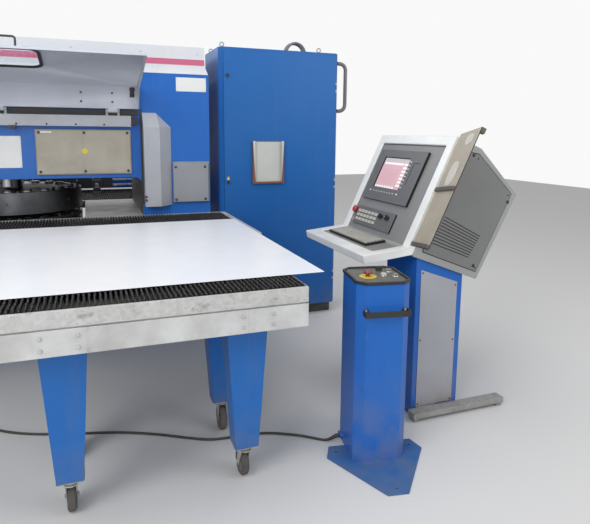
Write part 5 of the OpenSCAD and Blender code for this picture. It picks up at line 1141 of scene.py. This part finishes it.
# Console side cover: a grey sheet plate on a black seal, pressed with ten cooling slots. Five small
# screws hold it.
cover_grey = finish("side cover paint", "console_grey", (0.160, 0.163, 0.163), (0.190, 0.193, 0.193), 0.45,
                    Under=primer, Dirt=shop_dust, Mottle=0.7, Wear=0.25, Scratch=0.5, Dust=0.35,
                    Grime_Top=0.9, Grain=0.00008)
soft_copy("side_cover", "console_side_panel", 0.0006, "machine", cover_grey)
face_back = on_face @ Vector((face_length, 0, -0.044))
inner_fold = on_face @ Vector((0, 0, -0.044)) - Vector((0.012, 0, 0.022))
far_top = face_back + Vector((0.118, 0, -0.048))
far_edge = far_top + Vector((0.248, 0, -0.246))
low_edge = far_edge - Vector((0.236, 0, 0.453))
cover_corners = [far_top + Vector((-0.014, 0, -0.030)), far_edge + Vector((-0.038, 0, 0.002)),
                 low_edge + Vector((-0.008, 0, 0.044)), inner_fold + Vector((0.064, 0, 0.012)),
                 inner_fold + Vector((0.062, 0, 0.046)),
                 face_back + Vector((0.014, 0, -0.062))]
cover_middle = sum(cover_corners, Vector()) / len(cover_corners)
shell = bmesh.new()
rims = []
for y in (con_y - 0.0012, con_y - 0.0002):
    rims.append([shell.verts.new((p.x + 0.0045 * (p - cover_middle).normalized().x, y,
                                  p.z + 0.0045 * (p - cover_middle).normalized().z))
                 for p in cover_corners])
shell.faces.new(rims[0][::-1])
shell.faces.new(rims[1])
for i in range(6):
    shell.faces.new((rims[0][i], rims[0][i - 1], rims[1][i - 1], rims[1][i]))
bmesh.ops.recalc_face_normals(shell, faces=shell.faces)
keep("cover_seal", poured(shell, "cover_seal"), "machine", edge_black)
spots = [cover_middle + (p - cover_middle) * (1 - 0.022 / (p - cover_middle).length) for p in cover_corners]
set_parts("side_cover_screws", pan_head, [((p.x, con_y - 0.003, p.z), to_front)
                                          for p in spots[:4] + spots[5:]], "machine", black_plastic)

# Screen and key panels: moulded dark plates with black edges, screwed on the face. The screen's plate
# has soft keys beside and under the glass, the other has key fields.
module_grey = finish("module plastic", "dark_panel", (0.112, 0.114, 0.118), (0.14, 0.142, 0.145), 0.5,
                     Wear=0.1, Scratch=0.4, Dust=0.3, Grime_Top=1.0, Grain=0.00008, Grain_Scale=900.0)
off_face, off_shelf = on_face.inverted(), on_shelf.inverted()
key_pale = finish("pale keys", "tan_plastic", (0.43, 0.42, 0.375), (0.50, 0.49, 0.445), 0.5,
                  Dirt=(0.12, 0.11, 0.09), Patch_Scale=60.0, Mottle=1.0, Wear=0.1, Dust=0.4, Grime=0.1,
                  Grain=0.00006, Grain_Scale=900.0)


def module_face(middle, normal):
    """Keys are pale, the plates' edges are black, and the screen's recess is painted black as its shade."""
    local = off_face @ middle
    tall, flat = local.z + recess, normal.dot(outward) > 0.9
    if 0.0101 < tall < 0.0135 and local.x < 0.15:
        return 1
    if not flat:
        return 2
    # The screen's recess floor is painted black: painted shade inside the recess.
    return 2 if 0.006 < tall < 0.009 and local.x > 0.2 else 0


soft_copy("key_panels", "panel_modules", 0.0008, "machine", [module_grey, key_pale, edge_black],
          module_face)
glass_s, glass_y = 0.378, con_y + 0.55 * con_w + 0.037


def key_cap(width, length, tall):
    """A key cap with drawn-in sides, width up the slope and length across."""
    shell = bmesh.new()
    rings = []
    for inset, z in ((0, 0), (0.0004, 0.7 * tall), (0.0016, tall)):
        rings.append([shell.verts.new((a * (width / 2 - inset), b * (length / 2 - inset), z))
                      for a, b in ((-1, -1), (1, -1), (1, 1), (-1, 1))])
    for low, high in zip(rings, rings[1:]):
        for i in range(4):
            shell.faces.new((low[i - 1], low[i], high[i], high[i - 1]))
    shell.faces.new(rings[-1])
    return poured(shell, "cap")


key_white = finish("white keys", "white_plastic", (0.56, 0.56, 0.55), (0.50, 0.50, 0.49), 0.45, Wear=0.0,
                   Dust=0.3, Grime=0.1)
for label, width, length, tall, keys in (
    ("side", 0.0085, 0.017, 0.0030, [(glass_s - 0.078 + 0.0223 * i, glass_y - 0.1575) for i in range(8)]),
    ("row", 0.006, 0.013, 0.0022, [(glass_s - 0.1215, glass_y + 0.108 - 0.031 * i) for i in range(8)]),
    ("ends", 0.010, 0.016, 0.0028, [(glass_s - 0.1215, glass_y + y) for y in (0.150, -0.150)]),
):
    spots = [(on_face @ Vector((s, y, 0.0160 - recess)), face_turn) for s, y in keys]
    set_parts("soft_keys_" + label, key_cap(width, length, tall), spots, "machine", key_white, smooth=20)

# Screen: the bulged glass of a picture tube, set behind its plate. It is lit pale red with plain bars
# and no words.
half_s, half_y, columns, rows = 0.0975, 0.1405, 20, 14
shell = bmesh.new()
uv = shell.loops.layers.uv.new("screen")
sheet_of = {}
for i in range(rows + 1):
    for j in range(columns + 1):
        a, b = 2 * i / rows - 1, 2 * j / columns - 1
        bulge = 0.0085 + 0.0032 * (1 - a * a * 0.6) * (1 - b * b * 0.6)
        sheet_of[i, j] = shell.verts.new(on_face @ Vector((glass_s + a * half_s, glass_y + b * half_y,
                                                           bulge - recess)))
for i in range(rows):
    for j in range(columns):
        face = shell.faces.new([sheet_of[i, j], sheet_of[i + 1, j], sheet_of[i + 1, j + 1],
                                sheet_of[i, j + 1]])
        for loop, (di, dj) in zip(face.loops, ((0, 0), (1, 0), (1, 1), (0, 1))):
            loop[uv].uv = (1 - (j + dj) / columns, (i + di) / rows)
shell.normal_update()
if shell.faces[:][0].normal.dot(outward) < 0:
    bmesh.ops.reverse_faces(shell, faces=shell.faces)
lit, tree, shader = plain_material("lit screen", "screen")
shader.inputs["Roughness"].default_value = 0.12
shader.inputs["Emission Strength"].default_value = 0.35
on_screen = step(tree, "ShaderNodeUVMap", {}, uv_map="screen").outputs[0]
across, up = step(tree, "ShaderNodeSeparateXYZ", {0: on_screen}).outputs[:2]


def band(value, low, high):
    """1 between two values, 0 outside."""
    above = sums(tree, "GREATER_THAN", value, low)
    return sums(tree, "MULTIPLY", above, sums(tree, "LESS_THAN", value, high))


def patch(u_low, u_high, v_low, v_high):
    return sums(tree, "MULTIPLY", band(across, u_low, u_high), band(up, v_low, v_high))


def repeated(value, count, share):
    return sums(tree, "LESS_THAN", sums(tree, "FRACT", sums(tree, "MULTIPLY", value, count)), share)


pink, pale, white = (0.56, 0.36, 0.38, 1), (0.46, 0.42, 0.44, 1), (0.74, 0.73, 0.73, 1)
rosy, dark = (0.50, 0.24, 0.27, 1), (0.03, 0.025, 0.03, 1)
picture = mixed(tree, patch(0.0, 1.0, 0.87, 1.0), pink, pale)
picture = mixed(tree, patch(0.06, 0.80, 0.775, 0.845), picture, white)
picture = mixed(tree, patch(0.10, 0.74, 0.600, 0.606), picture, rosy)
picture = mixed(tree, sums(tree, "MULTIPLY", patch(0.12, 0.70, 0.16, 0.57), repeated(up, 17, 0.16)),
                picture, rosy)
picture = mixed(tree, sums(tree, "MULTIPLY", patch(0.83, 0.98, 0.10, 0.84), repeated(up, 9, 0.6)), picture,
                white)
picture = mixed(tree, sums(tree, "MULTIPLY", patch(0.03, 0.80, 0.025, 0.085), repeated(across, 10, 0.78)),
                picture, white)
# A dark rim round the picture is painted shade of the recess over the glass's edge.
edge = sums(tree, "MAXIMUM", sums(tree, "ABSOLUTE", sums(tree, "SUBTRACT", across, 0.5)),
            sums(tree, "ABSOLUTE", sums(tree, "SUBTRACT", up, 0.5)))
picture = mixed(tree, ramp(tree, edge, 0.478, 0.492), picture, dark)
tree.links.new(picture, shader.inputs["Base Color"])
tree.links.new(picture, shader.inputs["Emission Color"])
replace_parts(keep("lit_screen", poured(shell, "lit_screen"), "machine", lit, smooth=60), "screen_glass")

# Keyboard: pale moulded keys in a grey plastic case with black edges. It is screwed flat in the
# shelf.
def keyboard_face(middle, normal):
    """Keys are pale, the case's edges are black."""
    tall = (off_shelf @ middle).z + recess
    return 1 if tall > 0.0141 else 0 if normal.dot(upward) > 0.9 else 2


soft_copy("flat_keyboard", "keyboard", 0.0007, "machine", [module_grey, key_pale, edge_black],
          keyboard_face)

# Console stop button: a red plastic mushroom on a stem in a black collar, fixed through the face. The
# key switch beside it is zinc plated.
red_plastic = finish("red plastic", "red_plastic", (0.42, 0.018, 0.018), (0.48, 0.035, 0.030), 0.30,
                     coat=0.4, Wear=0.0, Scratch=0.3, Dust=0.3, Grime=0.1, Grain=0.00003)
dark_red = finish("dark red plastic", "red_plastic", (0.20, 0.018, 0.020), (0.26, 0.040, 0.036), 0.35,
                  coat=0.3, Wear=0.0, Scratch=0.4, Dust=0.5, Grime=0.2, Grain=0.00003)
mushroom_r = 0.021
mushroom_rings = [(0.009, -0.012), (0.009, 0.0158)]
mushroom_rings += [(mushroom_r - inset, z) for inset, z in (
    (0.0015, 0.0160), (0.0, 0.0178), (0.0, 0.0235), (0.001, 0.0262), (0.004, 0.0287), (0.009, 0.0303),
    (0.015, 0.0309))]
switch_y = far_y - 0.024
stop_place = on_face @ Vector((0.118, switch_y, -recess))
stop = set_parts("console_mushroom", turned_part(mushroom_rings, 32), [(stop_place, face_turn)],
                 "screen_stop", red_plastic)
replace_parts(stop, "console_stop")
collar = turned_part([(0.0185, 0), (0.0185, 0.005), (0.0165, 0.008), (0.0105, 0.0085), (0.0098, 0.007)], 28)
set_parts("stop_collar", collar, [(stop_place, face_turn)], "machine", black_plastic)
lock_place = on_face @ Vector((0.062, switch_y, -recess))
set_parts("key_switch", turned_part([(0.012, 0), (0.012, 0.003), (0.0105, 0.005), (0.008, 0.005),
                                     (0.0075, 0.0042)], 24),
          [(lock_place, face_turn)], "machine", zinc_plate)
set_parts("key_switch_slot", key_cap(0.0016, 0.009, 0.0008), [(lock_place + outward * 0.0042, face_turn)],
          "machine", edge_black)

# Console knobs: black plastic pointer knobs with a white line, pushed on the spindles in the key
# panel.
for label, source, body, y in (("left_pointer", "left_knob", "knob_left", 0.365),
                               ("right_pointer", "right_knob", "knob_right", 0.295)):
    soft_copy(label, source, 0.0010, body, black_plastic)
    line = on_face @ Vector((0.114, con_y + y, 0.010 - recess + 0.0003))
    slabs(label + "_line", [((0.002, -0.0007, 0.0229), (0.0145, 0.0007, 0.0232))], 0, body, label_white,
          Matrix.Translation(line) @ Matrix.Rotation(-slope, 4, "Y"))

# Copy wing: a beige board on two brackets beside the console, with clip bars for drawings. Two torn
# scraps of paper are still stuck to it.
board_beige = finish("board beige", "beige_paint", (0.380, 0.335, 0.262), (0.42, 0.375, 0.30), 0.5,
                     Under=(0.30, 0.28, 0.24), Dirt=(0.16, 0.14, 0.11), Patch_Scale=9.0, Mottle=1.0,
                     Edge_Radius=0.003, Scratch=0.6, Dust=0.4, Grime=0.4, Grime_Top=1.4, Grain=0.00008,
                     Grain_Scale=300.0)
clip_brown = finish("clip bars", "dark_steel", (0.080, 0.068, 0.055), (0.11, 0.097, 0.080), 0.45, Wear=0.4,
                    Scratch=0.6, Dust=0.3, Grain=0.00008)
wing_foot = on_face @ Vector((0.018, con_y - 0.003, -0.018))
wing = (Matrix.Translation(wing_foot) @ Matrix.Rotation(-slope, 4, "Y")
        @ Matrix.Rotation(math.radians(-18), 4, "X"))
off_wing = wing.inverted()
wing_l, wing_w = 0.620, 0.265


def wing_face(middle, normal):
    """Bars, the corner block and the brackets are dark, the board is beige."""
    local = off_wing @ middle
    if local.z > 0.0032 or local.z < -0.001 or middle.y > con_y - 0.0145 and local.z < 0:
        return 1
    return 0


soft_copy("copy_board", "copy_wing", 0.0008, "machine", [board_beige, clip_brown], wing_face)
slabs("board_edge", [((0.001, -wing_w - 0.0012, -0.0004), (wing_l - 0.001, -wing_w + 0.0014, 0.0034)),
                     ((-0.002, -wing_w + 0.002, 0.0020), (0.0006, -0.004, 0.0100)),
                     ((0.300, -wing_w - 0.003, 0.0015), (0.303, -0.010, 0.0090))], 0.0005, "machine",
      edge_black, wing)
paper = finish("stuck paper", "sheet_white", (0.62, 0.60, 0.555), (0.52, 0.50, 0.45), 0.7,
               Dirt=(0.35, 0.31, 0.25), Patch_Scale=25.0, Mottle=1.0, Wear=0.0, Grime=0.2, Grain=0.0002,
               Grain_Scale=200.0)
shell = bmesh.new()
chance = random.Random(8)
corners, paper_thick = 28, 0.0004
for middle_s, middle_t, half_long, half_wide, power in ((0.390, -0.130, 0.068, 0.052, 2.6),
                                                        (0.570, -0.165, 0.030, 0.045, 2.0)):
    ring = []
    for k in range(corners):
        a = 2 * math.pi * k / corners
        c, s = math.cos(a), math.sin(a)
        reach = (abs(c) ** power + abs(s) ** power) ** (-1 / power) * chance.uniform(0.93, 1.04)
        ring.append(Vector((middle_s + half_long * c * reach, middle_t + half_wide * s * reach, 0.0034)))
    low = [shell.verts.new(wing @ (p - Vector((0, 0, paper_thick)))) for p in ring]
    high = [shell.verts.new(wing @ (p + Vector((0, 0, paper_thick + 0.0009 * chance.random()))))
            for p in ring]
    for i in range(corners):
        shell.faces.new((low[i - 1], low[i], high[i], high[i - 1]))
    crown = shell.verts.new(wing @ Vector((middle_s, middle_t, 0.0042)))
    for i in range(corners):
        shell.faces.new((high[i - 1], high[i], crown))
keep("paper_scraps", poured(shell, "paper_scraps"), "machine", paper)

# Control pedestal: a post of folded sheet on a plate with three anchor holes, painted blue and rubbed
# bare along its foot. Its buttons sit in a plain metal panel with a rubber edge.
foot_paint = finish("foot paint", "blue_paint", (0.014, 0.110, 0.360), (0.030, 0.130, 0.350), 0.48,
                    coat=0.05, Under=(0.20, 0.20, 0.20), Dirt=(0.16, 0.15, 0.13), Patch_Scale=7.0,
                    Mottle=1.0, Edge_Radius=0.004, Wear=0.5, Scratch=0.8, Dust=0.3, Grime=0.25,
                    Grime_Top=0.02, Grain=0.0001, Grain_Scale=260.0)
soft_copy("pedestal_post", "pedestal_column", 0.0025, "machine", [blue_paint, foot_paint],
          lambda middle, normal: 1 if middle.z < 0.0082 else 0)
soft_copy("pedestal_edge", "pedestal_trim", 0.0018, "machine", window_rubber)
panel_metal = finish("panel metal", "steel", (0.150, 0.147, 0.130), (0.12, 0.117, 0.102), 0.42, metal=0.35,
                     Dirt=(0.10, 0.09, 0.075), Patch_Scale=18.0, Mottle=0.9, Wear=0.0, Scratch=0.8,
                     Dust=0.3, Grime=0.2, Grain=0.00004)
soft_copy("button_panel", "pedestal_panel", 0.0006, "machine", panel_metal)
soft_copy("yellow_ring", "stop_ring", 0.0008, "machine", yellow)
post_angle, post_top = math.radians(-10), 0.852
on_post = Matrix.Translation((1.745, -2.398, post_top)) @ Matrix.Rotation(post_angle, 4, "Z")
stop_at, start_at, near_at, far_at = (-0.044, -0.020), (0.034, -0.014), (0.084, -0.030), (0.084, 0.056)


def post_spot(x, y):
    return on_post @ Vector((x, y, 0)), (0, 0, post_angle)


stop = set_parts("pedestal_mushroom", turned_part(mushroom_rings, 32), [post_spot(*stop_at)],
                 "operator_stop", dark_red)
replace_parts(stop, "pedestal_stop")
button_r = 0.014
chrome = finish("bright collars", "steel", (0.56, 0.56, 0.55), (0.46, 0.46, 0.45), 0.25, metal=0.9,
                Wear=0.0, Scratch=0.6, Dust=0.3, Grime=0.2)
collar = turned_part([(button_r + 0.002, 0), (button_r + 0.002, 0.0028), (button_r, 0.0052),
                      (0.0100, 0.0052), (0.0097, 0.0035)], 28)
set_parts("button_collars", collar, [post_spot(*at) for at in (start_at, near_at, far_at)], "machine",
          chrome)
button_rings = [(0.009, -0.012), (0.009, 0.0068), (button_r - 0.0008, 0.0070), (button_r, 0.0080),
                (button_r, 0.0125), (button_r - 0.0012, 0.0138), (button_r - 0.006, 0.0132),
                (0.003, 0.0130)]
button_grey = finish("grey buttons", "grey_plastic", (0.20, 0.20, 0.195), (0.25, 0.25, 0.245), 0.4,
                     Wear=0.0, Scratch=0.3, Dust=0.4, Grime=0.2)
for label, source, body, at, colour in (("start_push", "start_button", "start", start_at, key_white),
                                        ("near_push_cap", "near_button", "near_push", near_at, button_grey),
                                        ("far_push_cap", "far_button", "far_push", far_at, button_grey)):
    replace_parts(set_parts(label, turned_part(button_rings, 28), [post_spot(*at)], body, colour), source)
soft_copy("selector_knob", "selector", 0.0010, "mode_selector", black_plastic)
spots = [post_spot(x, y) for x in (-0.098, 0.098) for y in (-0.118, 0.118)]
set_parts("button_panel_screws", pan_head, spots, "machine", zinc_plate, turn_jitter=3.0)
soft_copy("bent_handle", "pedestal_handle", 0.0012, "machine", black_plastic)
handle_screw = turned_part([(0.0055, 0), (0.0052, 0.0016), (0.0032, 0.0028)], 12, 0.002, 0.001)
spots = [(on_post @ Vector((x, -0.149, z - post_top)), (math.pi / 2, 0, post_angle))
         for x in (-0.091, 0.091) for z in (0.7185, 0.7315)]
set_parts("handle_screws", handle_screw, spots, "machine", zinc_plate)

# Studio: a plain pale floor, a pale surround and five soft square lamps. The surround is brighter to
# the camera and in reflections than it lights.
mesh = bpy.data.meshes.new("floor")
mesh.from_pydata([(-14, -14, 0), (14, -14, 0), (14, 14, 0), (-14, 14, 0)], [], [(0, 1, 2, 3)])
floor = bpy.data.objects.new("floor", mesh)
scene.collection.objects.link(floor)
plain_floor = bpy.data.materials.new("plain floor")
plain_floor.use_nodes = True
shader = plain_floor.node_tree.nodes["Principled BSDF"]
shader.inputs["Base Color"].default_value = (0.62, 0.62, 0.62, 1)
shader.inputs["Roughness"].default_value = 0.8
mesh.materials.append(plain_floor)
world = bpy.data.worlds.new("surround")
scene.world = world
world.use_nodes = True
tree = world.node_tree
ground = tree.nodes["Background"]
ground.inputs["Color"].default_value = (1, 1, 1, 1)
rays = tree.nodes.new("ShaderNodeLightPath").outputs
seen = sums(tree, "MAXIMUM", rays["Is Camera Ray"], sums(tree, "MAXIMUM", rays["Is Glossy Ray"],
                                                         rays["Is Transmission Ray"]))
tree.links.new(sums(tree, "MULTIPLY_ADD", seen, 0.41, 0.54), ground.inputs["Strength"])
for label, place, aim, width, power in (
    ("key", (-3.4, -5.6, 4.6), (0.6, -0.8, 0.9), 3.6, 220),
    ("fill", (5.0, -5.2, 3.4), (1.2, -1.0, 0.9), 3.5, 80),
    ("back", (-2.0, 5.0, 4.5), (0.0, 0.5, 1.2), 3.5, 125),
    ("top", (0.8, -2.2, 5.2), (0.8, -2.0, 0.9), 3.0, 60),
    ("low", (-0.4, -6.2, 1.6), (0.2, -0.6, 1.7), 1.6, 32),
):
    lamp = bpy.data.lights.new(label, "AREA")
    lamp.size = width
    lamp.energy = power
    stand = bpy.data.objects.new(label, lamp)
    aimed = (Vector(aim) - Vector(place)).to_track_quat("-Z", "Y").to_matrix().to_4x4()
    aimed.translation = place
    stand.matrix_world = aimed
    scene.collection.objects.link(stand)
scene.view_settings.view_transform = "Standard"
